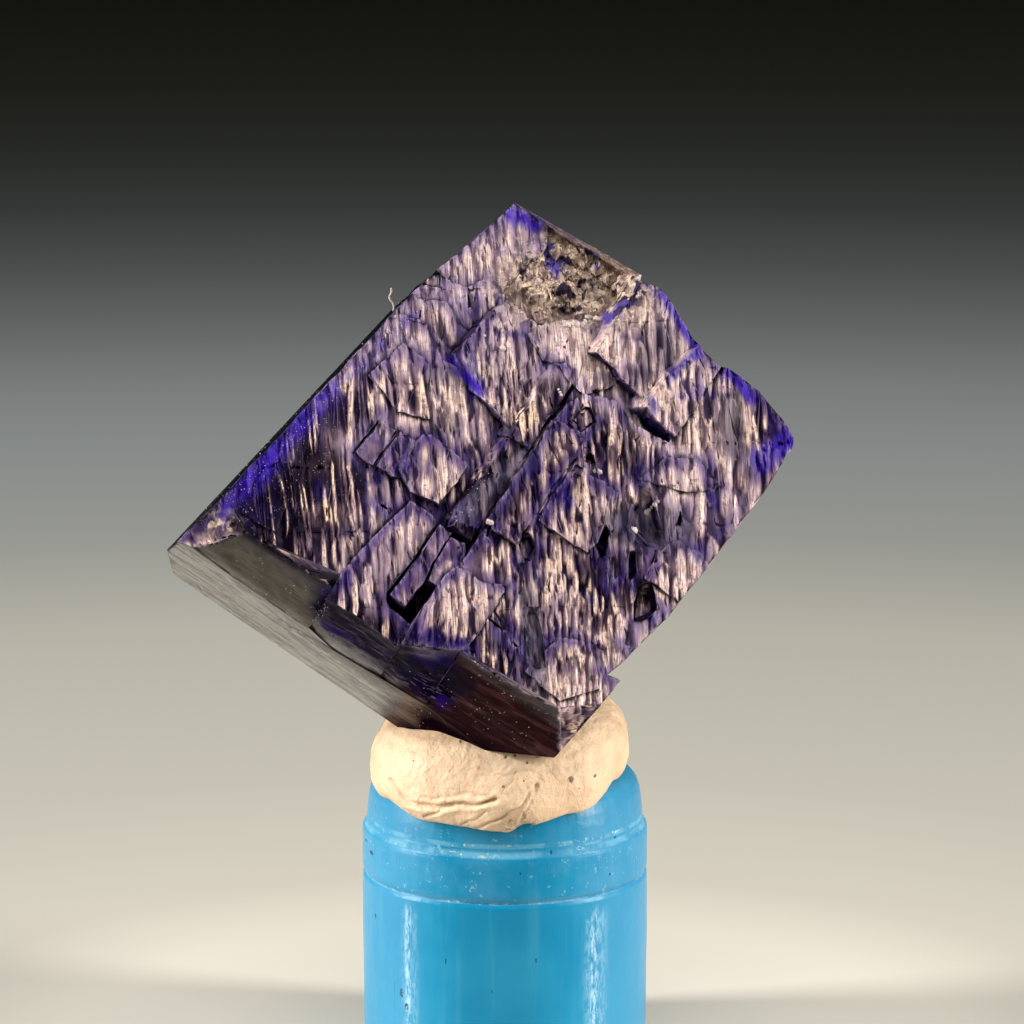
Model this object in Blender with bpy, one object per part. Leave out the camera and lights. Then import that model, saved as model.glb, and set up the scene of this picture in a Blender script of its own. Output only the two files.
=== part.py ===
"""Azurite crystal pressed into a lump of putty on top of a round blue post.

Millimetres are used while the meshes are made. The origin is the centre of the post's foot, +Z is up,
and the crystal's stepped front face looks towards -Y.
"""

import math
import random

import bmesh
import bpy
from mathutils import Matrix, Vector

MM = 0.001
GAP = 0.3  # clearance between pieces that touch
WELD = 0.0015  # points closer than this are one point
FLAT = math.radians(0.4)  # faces of a finished piece that turn less than this are one face

# Post, turned about +Z: (radius, height) up its outer side.
POST_RADIUS = 4.0
POST_NECK = 3.8
POST_TOP = 8.3
POST_SIDES = 48
POST_PROFILE = (
    (POST_RADIUS - 0.15, 0.0),
    (POST_RADIUS, 0.15),
    (POST_RADIUS, 5.35),
    (POST_RADIUS - 0.06, 5.43),
    (POST_RADIUS, 5.51),
    (POST_RADIUS, 6.7),
    (POST_RADIUS - 0.04, 6.79),
    (POST_NECK + 0.08, 6.95),
    (POST_NECK + 0.04, 7.4),
    (POST_NECK, 7.75),
    (POST_NECK - 0.1, 8.05),
    (POST_NECK - 0.3, 8.23),
    (POST_NECK - 0.6, POST_TOP),
)

# Putty: (azimuth in degrees, reach, lowest edge, highest edge) around the post.
PUTTY_STATIONS = (
    (-180, 3.76, 8.00, 9.75),
    (-150, 4.06, 7.75, 9.85),
    (-120, 4.32, 7.50, 10.00),
    (-90, 4.40, 7.40, 9.95),
    (-60, 4.20, 7.80, 9.90),
    (-30, 3.75, 8.30, 10.10),
    (0, 3.42, 8.45, 10.35),
    (30, 3.45, 8.40, 10.35),
    (60, 3.60, 8.15, 10.20),
    (90, 3.80, 7.95, 10.10),
    (120, 3.85, 7.85, 10.00),
    (150, 3.75, 7.90, 9.95),
)
PUTTY_SIDES = 32
# Share of the reach, and share of the way from lowest to highest edge, around the section of the lump.
PUTTY_SECTION = (
    (0.90, 0.0),
    (0.97, 0.14),
    (1.0, 0.36),
    (0.985, 0.58),
    (0.93, 0.78),
    (0.83, 0.93),
    (0.70, 1.0),
)

PUTTY_MIDDLE = (7.6, 10.0)  # heights of the middle of its underside and top, before it is hollowed

# The crystal's own frame: x across its front face, y up it, z out of it.
BLOCK_LOW = (-5, -5, -7.5)
BLOCK_HIGH = (14, 15, 2)
CRYSTAL_AT = (-8.024, -4.283, 15.631)
CRYSTAL_X = (0.839, -0.099, -0.536)
CRYSTAL_Z = (0.150, -0.903, 0.402)
UP_IN_CRYSTAL = (-0.536, 0.742, 0.402)
BASE_HEIGHT = 9.7  # height of the broken base above the post's foot

LINES_RUN = -55.0  # direction of the growth lines on the front face, degrees from x
LINE_FOLD = 0.05
LINE_PITCH = 0.3
LINE_RUN = 1.9

# Outer faces: (azimuth around z, angle back from z, a point on the face).
HULL = (
    (171.3, 82, (0.62, 7.0, 0)),
    (165, 82, (1.35, 10.6, 0)),
    (170, 115, (0.42, 7.35, -3.2)),
    (90, 93, (2.0, 12.88, 0)),
    (76, 93, (6.6, 12.9, 0.5)),
    (0, 94, (11.95, 10.0, 0.4)),
    (-5, 94, (11.32, 2.3, 0.5)),
    (-50, 50, (10.9, 1.5, 0.5)),
    (-115, 48, (0.85, 0.8, 0)),
    (-132, 96, (-0.68, -0.36, -2.6)),
    (-91, 84.9, (1.0, -0.09, -1.43)),
    (-92, 128, (1.0, -0.341, -4.25)),
)
# Front and back of the solid core that the growth plates stand on.
CORE_FACES = (
    (0, 0, (0, 0, -0.7)),
    (60, 173, (7.0, 8.0, -6.8)),
    (-120, 166, (4.0, 4.0, -6.6)),
)
PLATE_FOOT = -0.85  # foot of the first plate; each next one stands a little deeper
FOOT_STEP = 0.011

# Growth plates on the front face: outline, top height at the low and at the high end of y, slope
# across x, line fold as a share of LINE_FOLD, and the flare of the walls (left, right, down, up).
STEEP = (0.1, 0.1, 0.12, 0.1)
PLATES = {
    "left": (
        ((-1.8, -1.8), (4.0, -1.8), (4.2, 3.0), (5.3, 3.6), (5.36, 6.9), (5.2, 7.7), (3.4, 7.95),
         (2.75, 7.8), (2.4, 7.97), (2.05, 8.38), (1.45, 8.46), (1.0, 8.3), (0.7, 8.05), (-1.8, 7.0)),
        (0.0, 0.02), 0.0, 1.0, STEEP,
    ),
    "left_low": (
        ((-0.8, 7.3), (3.3, 7.3), (3.2, 9.0), (2.8, 8.95), (2.1, 9.28), (1.85, 9.36), (1.6, 9.27),
         (1.35, 9.05), (-0.6, 8.8)),
        (-0.14, -0.12), 0.0, 1.0, STEEP,
    ),
    "left_mid": (
        ((0.0, 8.4), (3.3, 8.4), (3.1, 10.35), (3.0, 10.5), (2.75, 10.62), (2.5, 10.66),
         (2.3, 10.45), (2.05, 10.05), (1.6, 9.9), (0.2, 10.2)),
        (-0.24, -0.2), 0.0, 1.0, STEEP,
    ),
    "left_top": (
        ((0.3, 9.3), (3.3, 9.3), (2.98, 10.7), (3.02, 11.3), (3.12, 11.75), (3.32, 12.3),
         (3.08, 12.75), (2.8, 13.6), (0.6, 13.6)),
        (-0.33, -0.25), 0.0, 0.9, STEEP,
    ),
    "centre": (
        ((2.86, 7.78), (3.4, 7.72), (4.1, 7.45), (4.9, 7.25), (5.2, 7.1), (5.2, 9.45), (4.9, 9.62),
         (4.4, 10.2), (4.0, 10.12), (3.35, 10.28), (3.08, 9.95), (2.96, 9.4)),
        (0.34, 0.22), 0.0, 0.8, (0.35, 0.1, 0.15, 0.1),
    ),
    "saddle": (
        ((4.2, 9.7), (4.9, 9.3), (5.3, 9.4), (6.4, 9.1), (6.9, 9.8), (6.3, 10.6), (6.1, 11.1),
         (5.6, 11.22), (5.25, 10.95), (4.85, 10.68), (4.45, 10.28)),
        (0.3, 0.2), 0.0, 0.35, STEEP,
    ),
    "under_chevron": (
        ((6.0, 8.2), (9.3, 8.2), (9.3, 10.4), (6.2, 10.4)),
        (0.2, 0.2), 0.0, 0.7, STEEP,
    ),
    "upper_block": (
        ((6.02, 10.25), (6.75, 10.2), (7.0, 10.0), (8.1, 9.82), (8.3, 13.6), (6.02, 13.6)),
        (0.5, 0.52), -0.03, 0.9, (0.8, 0.1, 0.15, 0.1),
    ),
    "upper_bar": (
        ((8.02, 9.66), (8.5, 9.5), (9.1, 9.42), (9.12, 13.6), (8.7, 13.6), (8.34, 12.0), (8.05, 10.9)),
        (0.72, 0.66), 0.0, 0.8, (0.9, 0.1, 0.45, 0.1),
    ),
    "right": (
        ((5.9, 0.4), (12.6, 0.4), (12.6, 13.6), (9.05, 13.6), (9.05, 9.2), (8.0, 9.08), (7.3, 9.4),
         (6.9, 9.32), (6.35, 8.98), (6.12, 8.6), (6.08, 3.4)),
        (0.62, 0.46), 0.0, 1.0, STEEP,
    ),
    "slope": (
        ((5.36, 3.95), (5.97, 3.95), (5.97, 6.95), (5.3, 7.05)),
        (0.36, 0.36), -0.35, 0.15, (0.6, 0.05, 0.1, 0.1),
    ),
    "ridge_bar": (
        ((5.3, 6.9), (5.93, 6.9), (5.95, 9.15), (5.75, 9.5), (5.5, 9.6), (5.3, 9.3)),
        (0.5, 0.42), 0.0, 0.8, (0.9, 0.05, 0.15, 0.1),
    ),
    "left_of_crack": (
        ((6.04, 4.4), (7.05, 4.4), (7.07, 7.3), (7.0, 7.95), (6.4, 8.06), (6.04, 7.85)),
        (0.72, 0.62), 0.0, 0.9, STEEP,
    ),
    "right_of_crack": (
        ((7.18, 5.3), (8.8, 5.3), (9.05, 6.3), (8.6, 7.2), (8.0, 7.24), (7.5, 7.3), (7.2, 7.2)),
        (0.68, 0.6), 0.0, 1.0, STEEP,
    ),
    "edge_plate": (
        ((10.5, 5.6), (12.6, 5.6), (12.6, 6.85), (11.6, 6.95), (10.7, 7.05), (10.35, 6.5)),
        (0.66, 0.6), 0.0, 0.8, STEEP,
    ),
    "low_corner": (
        ((3.44, -1.8), (6.0, -1.8), (6.0, 1.0), (5.1, 1.08), (4.95, 1.2), (4.87, 1.35), (4.93, 3.95),
         (4.0, 3.95), (3.78, 2.7), (3.62, 1.9)),
        (0.8, 0.14), 0.0, 1.0, (0.12, 0.03, 0.12, 0.1),
    ),
    "narrow_bar": (
        ((5.0, 1.36), (5.5, 1.3), (5.46, 2.4), (5.42, 3.72), (5.02, 3.75)),
        (0.64, 0.5), 0.0, 0.9, (0.03, 0.08, 0.12, 0.1),
    ),
    "low_block": (
        ((5.9, 0.4), (7.48, 0.4), (7.5, 3.3), (6.8, 3.0), (6.3, 3.06), (6.0, 2.9), (5.88, 2.55)),
        (0.76, 0.68), 0.0, 0.9, (0.06, 0.15, 0.1, 0.1),
    ),
    "low_shelf": (
        ((5.56, 2.25), (6.1, 2.25), (6.5, 3.0), (6.05, 3.42), (5.85, 3.68), (5.46, 3.62)),
        (0.54, 0.5), 0.0, 0.4, (0.05, 0.1, 0.1, 0.1),
    ),
    "chip_a": (
        ((2.08, 4.3), (2.66, 4.25), (2.64, 5.4), (2.2, 5.42)),
        (0.12, 0.1), 0.0, 0.6, STEEP,
    ),
    "chip_b": (
        ((2.74, 4.3), (3.25, 4.24), (3.7, 4.5), (3.8, 5.3), (3.5, 5.46), (2.78, 5.44)),
        (0.18, 0.1), 0.0, 0.6, STEEP,
    ),
    "chip_c": (
        ((3.3, 4.5), (3.9, 4.2), (4.7, 4.3), (4.8, 5.7), (4.0, 5.76), (3.5, 5.86), (3.28, 5.72)),
        (0.22, 0.12), 0.0, 0.7, STEEP,
    ),
    "chip_d": (
        ((1.2, 6.3), (2.4, 5.9), (3.2, 6.2), (2.4, 7.5), (1.5, 7.6)),
        (0.1, 0.1), 0.0, 0.9, STEEP,
    ),
    "chip_e": (
        ((0.4, 1.2), (1.5, 1.2), (1.2, 2.2), (0.5, 2.9), (0.25, 2.5)),
        (0.08, 0.08), 0.0, 0.5, STEEP,
    ),
    "chip_f": (
        ((9.1, 1.6), (10.3, 1.4), (11.0, 2.3), (10.3, 3.3), (9.4, 2.9)),
        (0.72, 0.66), 0.0, 0.8, STEEP,
    ),
    "chip_g": (
        ((8.9, 7.9), (10.2, 8.3), (10.9, 9.0), (9.9, 9.3), (9.2, 8.8)),
        (0.56, 0.56), 0.0, 0.8, STEEP,
    ),
}

# Slanting facet that cuts off the centre plate's lower left corner: (azimuth, angle back, point).
CENTRE_FACET = (-130, 42, (3.6, 7.95, 0.3))

# Etched hollows in the front face: outline and floor height; the walls widen upwards.
HOLLOWS = (
    (((8.93, 7.9), (9.3, 7.86), (10.3, 7.0), (10.62, 6.55), (10.2, 6.38), (9.7, 6.5), (9.25, 6.6),
      (9.0, 7.2)), 0.24),
    (((8.7, 6.1), (8.85, 6.32), (9.02, 6.15), (9.28, 5.55), (9.12, 5.42), (8.84, 5.75)), 0.14),
    (((9.35, 5.56), (9.55, 5.62), (9.84, 5.12), (9.78, 4.88), (9.5, 5.15)), 0.1),
    (((9.64, 5.95), (9.95, 6.26), (10.28, 5.75), (10.2, 5.25), (9.88, 5.55)), 0.22),
    (((10.42, 5.45), (10.7, 5.62), (11.22, 5.1), (11.16, 4.78), (10.84, 4.42), (10.6, 4.8)), 0.14),
    (((10.74, 4.1), (10.95, 4.04), (11.02, 3.72), (10.86, 3.7)), 0.3),
    (((7.02, 4.84), (7.25, 5.02), (7.6, 4.72), (7.66, 4.2), (7.4, 3.98), (7.08, 4.4)), 0.34),
    (((6.08, 4.68), (6.28, 4.45), (6.36, 4.12), (6.14, 4.24)), 0.1),
    (((6.35, 8.15), (6.9, 8.1), (7.1, 8.6), (6.6, 8.9)), 0.2),
    (((7.05, 7.82), (7.32, 7.88), (7.78, 7.66), (7.56, 7.42), (7.16, 7.46)), 0.3),
    (((10.28, 7.84), (10.45, 7.78), (10.66, 7.12), (10.5, 7.02)), 0.2),
    (((0.9, 9.35), (1.6, 9.6), (1.3, 10.1), (1.05, 10.0)), -0.42),
    (((2.0, 9.6), (2.6, 9.5), (2.5, 9.95), (2.2, 10.0)), -0.36),
    (((7.96, 3.42), (8.3, 3.46), (9.0, 2.85), (9.72, 1.9), (9.78, 1.42), (9.2, 1.58), (8.62, 2.28),
      (8.05, 2.95)), 0.5),
)
HOLLOW_FOOT = 0.6  # width of a hollow's floor against its mouth
HOLLOW_WALL = 0.35  # height of the sloping wall
OPEN_AIR = 1.8  # height that clears every plate

# Cracks and ledge lines: ends, surface height, width, depth.
CRACKS = (
    ((5.95, 4.3), (5.98, 7.0), 0.35, 0.10, 0.55),
    ((5.98, 6.9), (6.02, 9.1), 0.45, 0.13, 0.55),
    ((7.1, 5.5), (7.14, 7.4), 0.66, 0.11, 0.45),
    ((5.1, 3.84), (5.9, 3.86), 0.5, 0.12, 0.45),
    ((3.3, 3.46), (3.78, 3.44), 0.05, 0.09, 0.25),
    ((2.02, 4.25), (2.14, 5.5), 0.08, 0.08, 0.25),
    ((2.68, 4.25), (2.72, 5.45), 0.12, 0.08, 0.25),
    ((7.5, 2.3), (8.05, 2.2), 0.6, 0.07, 0.2),
    ((8.3, 2.1), (8.65, 2.06), 0.6, 0.07, 0.2),
    ((5.5, 2.3), (5.58, 1.3), 0.5, 0.10, 0.5),
    ((3.02, 10.6), (3.36, 12.4), -0.2, 0.16, 0.5),
)

# Facets struck across the lower and right edges: reach in x, y and back, and the facet's face.
EDGE_FACETS = (
    ((-4, 3.6), (-6, 5), -2.6, (-90, 58, (1.0, 0.8, 0.0))),
    ((3.57, 5.97), (-6, 5), -2.62, (-90, 79, (4.5, 0.34, 0.6))),
    ((5.93, 7.39), (-6, 5), -2.64, (-91, 66, (6.6, 1.22, 0.7))),
    ((7.35, 14), (-6, 5), -2.66, (-86, 58, (9.0, 1.14, 0.62))),
    ((9, 14), (2.76, 9.6), -7.6, (-13, 96, (11.14, 3.3, 0.5))),
    ((9, 14), (4.0, 6.9), -2.6, (-13, 48, (11.58, 5.2, 0.55))),
)
LOW_GROOVE = ((-0.2, -3.0, -2.74), (5.4, -0.13, -2.64))  # fine ledge line along the lower face

# Wedge missing from the upper edge, and shallow ledges along the hidden sides: low and high corner.
UPPER_NOTCH = ((5.9, 13.6), (5.92, 12.68), (6.45, 12.78), (7.0, 12.66), (7.45, 12.46), (8.04, 12.17),
               (8.45, 11.96), (9.05, 11.82), (9.3, 11.96), (10.25, 11.93), (11.2, 11.58),
               (11.86, 11.34), (12.1, 10.8), (13.0, 10.8), (13.0, 13.6))
UPPER_NOTCH_DEPTH = -3.5
SIDE_LEDGES = (
    ((11.72, 4.6, -8.0), (13.0, 14.0, -2.6)),
    ((11.5, 7.9, -8.0), (13.0, 14.0, -4.9)),
    ((2.0, 12.62, -8.0), (13.0, 14.0, -3.4)),
    ((5.2, 12.3, -8.0), (13.0, 14.0, -5.2)),
    ((-3.0, 9.4, -8.0), (0.95, 14.0, -1.7)),
)

# Plates on the back face, which stands at BACK_AT: outline, rise and line fold.
BACK_AT = -6.6
BACK_PLATES = (
    (((1.8, 4.4), (6.0, 3.4), (6.3, 9.0), (5.4, 11.4), (2.6, 11.8), (1.9, 8.0)), 0.35, 1.0),
    (((5.7, 5.0), (10.6, 5.6), (10.9, 10.9), (8.6, 11.6), (6.0, 11.0)), 0.55, 1.0),
    (((7.2, 6.4), (10.0, 6.8), (10.1, 9.9), (7.5, 10.2)), 0.78, 0.9),
    (((2.6, 6.2), (4.9, 5.8), (5.2, 9.6), (3.1, 10.2)), 0.58, 0.9),
    (((3.6, 10.4), (6.4, 10.0), (6.6, 12.0), (4.2, 12.1)), 0.5, 0.8),
)

# Rough granular patch near the top: where its lumps sit and how large they are.
PATCH_OUTLINE = ((3.35, 10.45), (4.3, 10.3), (4.85, 10.75), (5.35, 11.1), (5.75, 11.6),
                 (5.8, 12.6), (5.0, 12.72), (4.2, 12.66), (3.55, 12.35), (3.3, 11.4))
PATCH_HEIGHT = -0.5
PATCH_SINK = 0.45  # depth of the pit below that height
PATCH_FLOOR = (-2.0, -0.78)  # low and high face of the floor under the lumps
PATCH_LUMPS = 26
PATCH_SPREAD = 0.8  # share of the patch that the middles of the lumps cover
PATCH_GROW = 1.04  # the floor under the lumps reaches into the walls around it
PATCH_CREST = (
    (3.62, 12.46, -0.44, 0.3),
    (4.05, 12.58, -0.42, 0.34),
    (4.4, 12.68, -0.4, 0.36),
    (4.78, 12.74, -0.4, 0.36),
    (5.2, 12.6, -0.42, 0.32),
    (5.6, 12.62, -0.44, 0.32),
)


# Meshes

def mesh_object(name, bm):
    """Turns the triangles of bm into an object of that name, with its faces pointing out."""
    bmesh.ops.triangulate(bm, faces=bm.faces[:])
    bmesh.ops.recalc_face_normals(bm, faces=bm.faces[:])
    mesh = bpy.data.meshes.new(name)
    bm.to_mesh(mesh)
    bm.free()
    made = bpy.data.objects.new(name, mesh)
    bpy.context.scene.collection.objects.link(made)
    return made


def settle(piece, flat=0.0):
    """Merges points that lie together, and faces that turn less than flat, and makes triangles."""
    bm = bmesh.new()
    bm.from_mesh(piece.data)
    bmesh.ops.remove_doubles(bm, verts=bm.verts[:], dist=WELD)
    if flat:
        bmesh.ops.dissolve_limit(bm, angle_limit=flat, verts=bm.verts[:], edges=bm.edges[:])
    bmesh.ops.triangulate(bm, faces=bm.faces[:])
    bm.to_mesh(piece.data)
    bm.free()


def combine(body, tool, operation):
    """Gives body the union, difference or intersection of itself and tool, and removes tool."""
    settle(body)
    settle(tool)
    change = body.modifiers.new("change", "BOOLEAN")
    change.solver = "EXACT"
    change.operation = operation
    change.object = tool
    graph = bpy.context.evaluated_depsgraph_get()
    result = bpy.data.meshes.new_from_object(body.evaluated_get(graph))
    body.modifiers.remove(change)
    body.data = result
    bpy.data.objects.remove(tool)


def facing(around, back):
    """Outward direction of a face, from its azimuth around z and its angle back from z."""
    around, back = math.radians(around), math.radians(back)
    flat = math.sin(back)
    return Vector((math.cos(around) * flat, math.sin(around) * flat, math.cos(back)))


def hewn(low, high, cuts, grow=0.0):
    """A box cut back to every (outward direction, point on the face) in cuts, moved out by grow."""
    bm = bmesh.new()
    bmesh.ops.create_cube(bm, size=1.0)
    low, high = Vector(low), Vector(high)
    for vert in bm.verts:
        vert.co = [a + (b - a) * (c + 0.5) for a, b, c in zip(low, high, vert.co)]
    for outward, point in cuts:
        every = bm.verts[:] + bm.edges[:] + bm.faces[:]
        place = Vector(point) + outward * grow
        cut = bmesh.ops.bisect_plane(bm, geom=every, dist=1e-5, plane_co=place, plane_no=outward,
                                     clear_outer=True)
        rim = [item for item in cut["geom_cut"] if isinstance(item, bmesh.types.BMEdge)]
        if rim:
            bmesh.ops.edgeloop_fill(bm, edges=rim)
    return bm


def facet(low, high, face):
    """A cutter that leaves a slanting face: what lies outside (azimuth, angle back, point)."""
    around, back, point = face
    return mesh_object("facet", hewn(low, high, [(facing(around + 180, 180 - back), point)]))


def prism(outline, low, high):
    """A straight prism on an outline, from height low to height high."""
    bm = bmesh.new()
    foot = [bm.verts.new((x, y, low)) for x, y in outline]
    head = [bm.verts.new((x, y, high)) for x, y in outline]
    bm.faces.new(foot)
    bm.faces.new(head)
    for i in range(len(outline)):
        after = (i + 1) % len(outline)
        bm.faces.new((foot[i], foot[after], head[after], head[i]))
    return bm


def hollow(outline, floor):
    """A cutter for a hollow: a small floor, a sloping wall and a straight mouth above it."""
    middle = [sum(corner[i] for corner in outline) / len(outline) for i in range(2)]
    bm = bmesh.new()
    rings = []
    for share, height in ((HOLLOW_FOOT, floor), (1.0, floor + HOLLOW_WALL), (1.02, OPEN_AIR)):
        places = [[m + (c - m) * share for c, m in zip(corner, middle)] for corner in outline]
        rings.append([bm.verts.new((x, y, height)) for x, y in places])
    for lower, upper in zip(rings, rings[1:]):
        for i in range(len(outline)):
            after = (i + 1) % len(outline)
            bm.faces.new((lower[i], lower[after], upper[after], upper[i]))
    bm.faces.new(rings[0])
    bm.faces.new(rings[-1])
    return mesh_object("hollow", bm)


def between(stops, values, at):
    """Straight-line value at a place between rising stops."""
    for i in range(len(stops) - 1):
        if at <= stops[i + 1]:
            share = (at - stops[i]) / (stops[i + 1] - stops[i])
            return values[i] + (values[i + 1] - values[i]) * min(max(share, 0.0), 1.0)
    return values[-1]


# Growth plates

def stops_over(low, high, pitch, rng):
    """Uneven stops that pass both ends of a range."""
    stops = [low - pitch * rng.uniform(0.2, 1.0)]
    while stops[-1] < high:
        stops.append(stops[-1] + pitch * rng.uniform(0.5, 1.5))
    return stops


def folded_sheet(outline, fold, seed):
    """A flat sheet on the outline, folded along the growth lines; the fold is kept in z."""
    rng = random.Random(seed)
    run = math.radians(LINES_RUN)
    along = Vector((math.cos(run), math.sin(run), 0))
    across = Vector((-along.y, along.x, 0))
    corners = [Vector((x, y, 0)) for x, y in outline]
    sheet = bmesh.new()
    sheet.faces.new([sheet.verts.new(corner) for corner in corners])
    lines = {}
    for direction, pitch in ((across, LINE_PITCH), (along, LINE_RUN)):
        reach = [corner.dot(direction) for corner in corners]
        lines[pitch] = stops_over(min(reach), max(reach), pitch, rng)
        for stop in lines[pitch]:
            every = sheet.verts[:] + sheet.edges[:] + sheet.faces[:]
            bmesh.ops.bisect_plane(sheet, geom=every, dist=0.02, plane_co=direction * stop,
                                   plane_no=direction)
    rows = []
    for i in range(len(lines[LINE_RUN])):
        turn = 1 if i % 2 else -1
        rows.append([fold * rng.uniform(0.35, 1.0) * (1 if (k % 2) else -1)
                     + 0.2 * fold * turn for k in range(len(lines[LINE_PITCH]))])
    for vert in sheet.verts:
        side = vert.co.dot(across)
        column = [between(lines[LINE_PITCH], row, side) for row in rows]
        vert.co.z = between(lines[LINE_RUN], column, vert.co.dot(along))
    return sheet


def rim_in_order(sheet):
    """The vertices around the sheet's edge, anticlockwise seen from above."""
    following = {}
    for edge in sheet.edges:
        if edge.is_boundary:
            loop = edge.link_loops[0]
            following[loop.vert] = loop.link_loop_next.vert
    rim = [next(iter(following))]
    while following[rim[-1]] is not rim[0]:
        rim.append(following[rim[-1]])
    return rim


def plate(name, outline, ends, lean, fold, flare, seed):
    """A growth plate: a folded top, flared walls and a flat foot sunk in the core."""
    sheet = folded_sheet(outline, fold * LINE_FOLD, seed)
    bmesh.ops.triangulate(sheet, faces=sheet.faces[:])
    low, high = min(y for _, y in outline), max(y for _, y in outline)
    middle = sum(x for x, _ in outline) / len(outline)
    for vert in sheet.verts:
        share = (vert.co.y - low) / (high - low)
        vert.co.z += ends[0] + (ends[1] - ends[0]) * share + lean * (vert.co.x - middle)
    if sheet.faces[:][0].normal.z < 0:
        bmesh.ops.reverse_faces(sheet, faces=sheet.faces[:])
    rim = rim_in_order(sheet)
    floor = PLATE_FOOT - FOOT_STEP * seed
    left, right, down, up = flare
    foot = []
    for i, vert in enumerate(rim):
        step = (rim[(i + 1) % len(rim)].co - rim[i - 1].co).xy.normalized()
        out = Vector((step.y, -step.x))
        depth = vert.co.z - floor
        wide = out.x * (right if out.x > 0 else left) * depth
        tall = out.y * (up if out.y > 0 else down) * depth
        foot.append(sheet.verts.new((vert.co.x + wide, vert.co.y + tall, floor)))
    for i, vert in enumerate(rim):
        after = (i + 1) % len(rim)
        sheet.faces.new((vert, foot[i], foot[after], rim[after]))
    sheet.faces.new(foot)
    return mesh_object(name, sheet)


def crack(start, end, surface, width, depth):
    """A cutter for a crack: straight sides above the surface and a sharp bottom."""
    start, end = Vector(start), Vector(end)
    step = (end - start).normalized()
    side = Vector((-step.y, step.x)) * width / 2
    top = OPEN_AIR - 0.1
    section = ((1, top), (1, surface), (0, surface - depth), (-1, surface), (-1, top))
    bm = bmesh.new()
    rings = []
    for place in (start, end):
        rings.append([bm.verts.new((*(place + side * share), height)) for share, height in section])
    bm.faces.new(rings[0])
    bm.faces.new(rings[1])
    for i in range(len(section)):
        after = (i + 1) % len(section)
        bm.faces.new((rings[0][i], rings[0][after], rings[1][after], rings[1][i]))
    return mesh_object("crack", bm)


def lump(centre, radius, rng):
    """A small uneven stone-like lump."""
    bm = bmesh.new()
    bmesh.ops.create_icosphere(bm, subdivisions=1, radius=1.0)
    for vert in bm.verts:
        size = [radius * rng.uniform(0.75, 1.25) for _ in range(3)]
        vert.co = [c + v * s for c, v, s in zip(centre, vert.co, size)]
    return mesh_object("lump", bm)


def inside(outline, x, y):
    """Whether a point lies inside an outline."""
    found = False
    for (x1, y1), (x2, y2) in zip(outline, outline[1:] + outline[:1]):
        if (y1 > y) != (y2 > y) and x < x1 + (x2 - x1) * (y - y1) / (y2 - y1):
            found = not found
    return found


def patch_lumps():
    """The lumps of the granular patch, joined in one solid with a floor under them."""
    rng = random.Random(11)
    centre = [sum(corner[i] for corner in PATCH_OUTLINE) / len(PATCH_OUTLINE) for i in range(2)]
    floor = [[c + (a - c) * PATCH_GROW for a, c in zip(corner, centre)] for corner in PATCH_OUTLINE]
    patch = mesh_object("patch", prism(floor, *PATCH_FLOOR))
    low = [min(corner[i] for corner in PATCH_OUTLINE) for i in range(2)]
    high = [max(corner[i] for corner in PATCH_OUTLINE) for i in range(2)]
    spots = list(PATCH_CREST)
    while len(spots) < PATCH_LUMPS:
        x, y = rng.uniform(low[0], high[0]), rng.uniform(low[1], high[1])
        if inside(PATCH_OUTLINE, x, y):
            x, y = (c + (a - c) * PATCH_SPREAD for a, c in zip((x, y), centre))
            spots.append((x, y, PATCH_HEIGHT + rng.uniform(-0.3, 0.05), rng.uniform(0.28, 0.45)))
    for x, y, z, radius in spots:
        combine(patch, lump((x, y, z), radius, rng), "UNION")
    return patch


# The three pieces

def faces_of(table):
    """Outward direction and a point for each face in a table of angles."""
    return [(facing(around, back), point) for around, back, point in table]


def hull_cuts():
    """Every outer face of the crystal, with the broken base as the last."""
    up = Vector(UP_IN_CRYSTAL).normalized()
    on_base = up * (BASE_HEIGHT - CRYSTAL_AT[2])
    return faces_of(HULL) + [(-up, on_base)]


def crystal_hull(name, grow):
    """The crystal's simple outer block, grown on every face."""
    return mesh_object(name, hewn(BLOCK_LOW, BLOCK_HIGH, hull_cuts(), grow))


def crystal():
    """The stepped crystal with its granular patch, in its own frame."""
    solid = mesh_object("azurite_crystal", hewn(BLOCK_LOW, BLOCK_HIGH, faces_of(CORE_FACES)))
    for seed, (name, shape) in enumerate(PLATES.items()):
        made = plate(name, *shape, seed + 3)
        if name == "centre":
            combine(made, facet((1, 5, -2), (6, 12, 2), CENTRE_FACET), "DIFFERENCE")
        combine(solid, made, "UNION")
    for seed, (outline, rise, fold) in enumerate(BACK_PLATES):
        made = plate("back_plate", outline, (rise, rise), 0.0, fold, STEEP, seed + 70)
        turn = Matrix.Translation((0, 0, BACK_AT)) @ Matrix.Diagonal((1, 1, -1, 1))
        made.data.transform(turn)
        made.data.flip_normals()
        combine(solid, made, "UNION")
    combine(solid, crystal_hull("hull", 0.0), "INTERSECT")
    for reach_x, reach_y, depth, face in EDGE_FACETS:
        low = (reach_x[0], reach_y[0], depth)
        high = (reach_x[1], reach_y[1], BLOCK_HIGH[2])
        combine(solid, facet(low, high, face), "DIFFERENCE")
    for outline, floor in HOLLOWS:
        combine(solid, hollow(outline, floor), "DIFFERENCE")
    for shape in CRACKS:
        combine(solid, crack(*shape), "DIFFERENCE")
    notch = mesh_object("notch", prism(UPPER_NOTCH, UPPER_NOTCH_DEPTH, OPEN_AIR))
    combine(solid, notch, "DIFFERENCE")
    for low, high in (*SIDE_LEDGES, LOW_GROOVE):
        combine(solid, mesh_object("ledge", hewn(low, high, [])), "DIFFERENCE")
    pit = mesh_object("pit", prism(PATCH_OUTLINE, PATCH_HEIGHT - PATCH_SINK, OPEN_AIR))
    combine(solid, pit, "DIFFERENCE")
    combine(solid, patch_lumps(), "UNION")
    return solid


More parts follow.
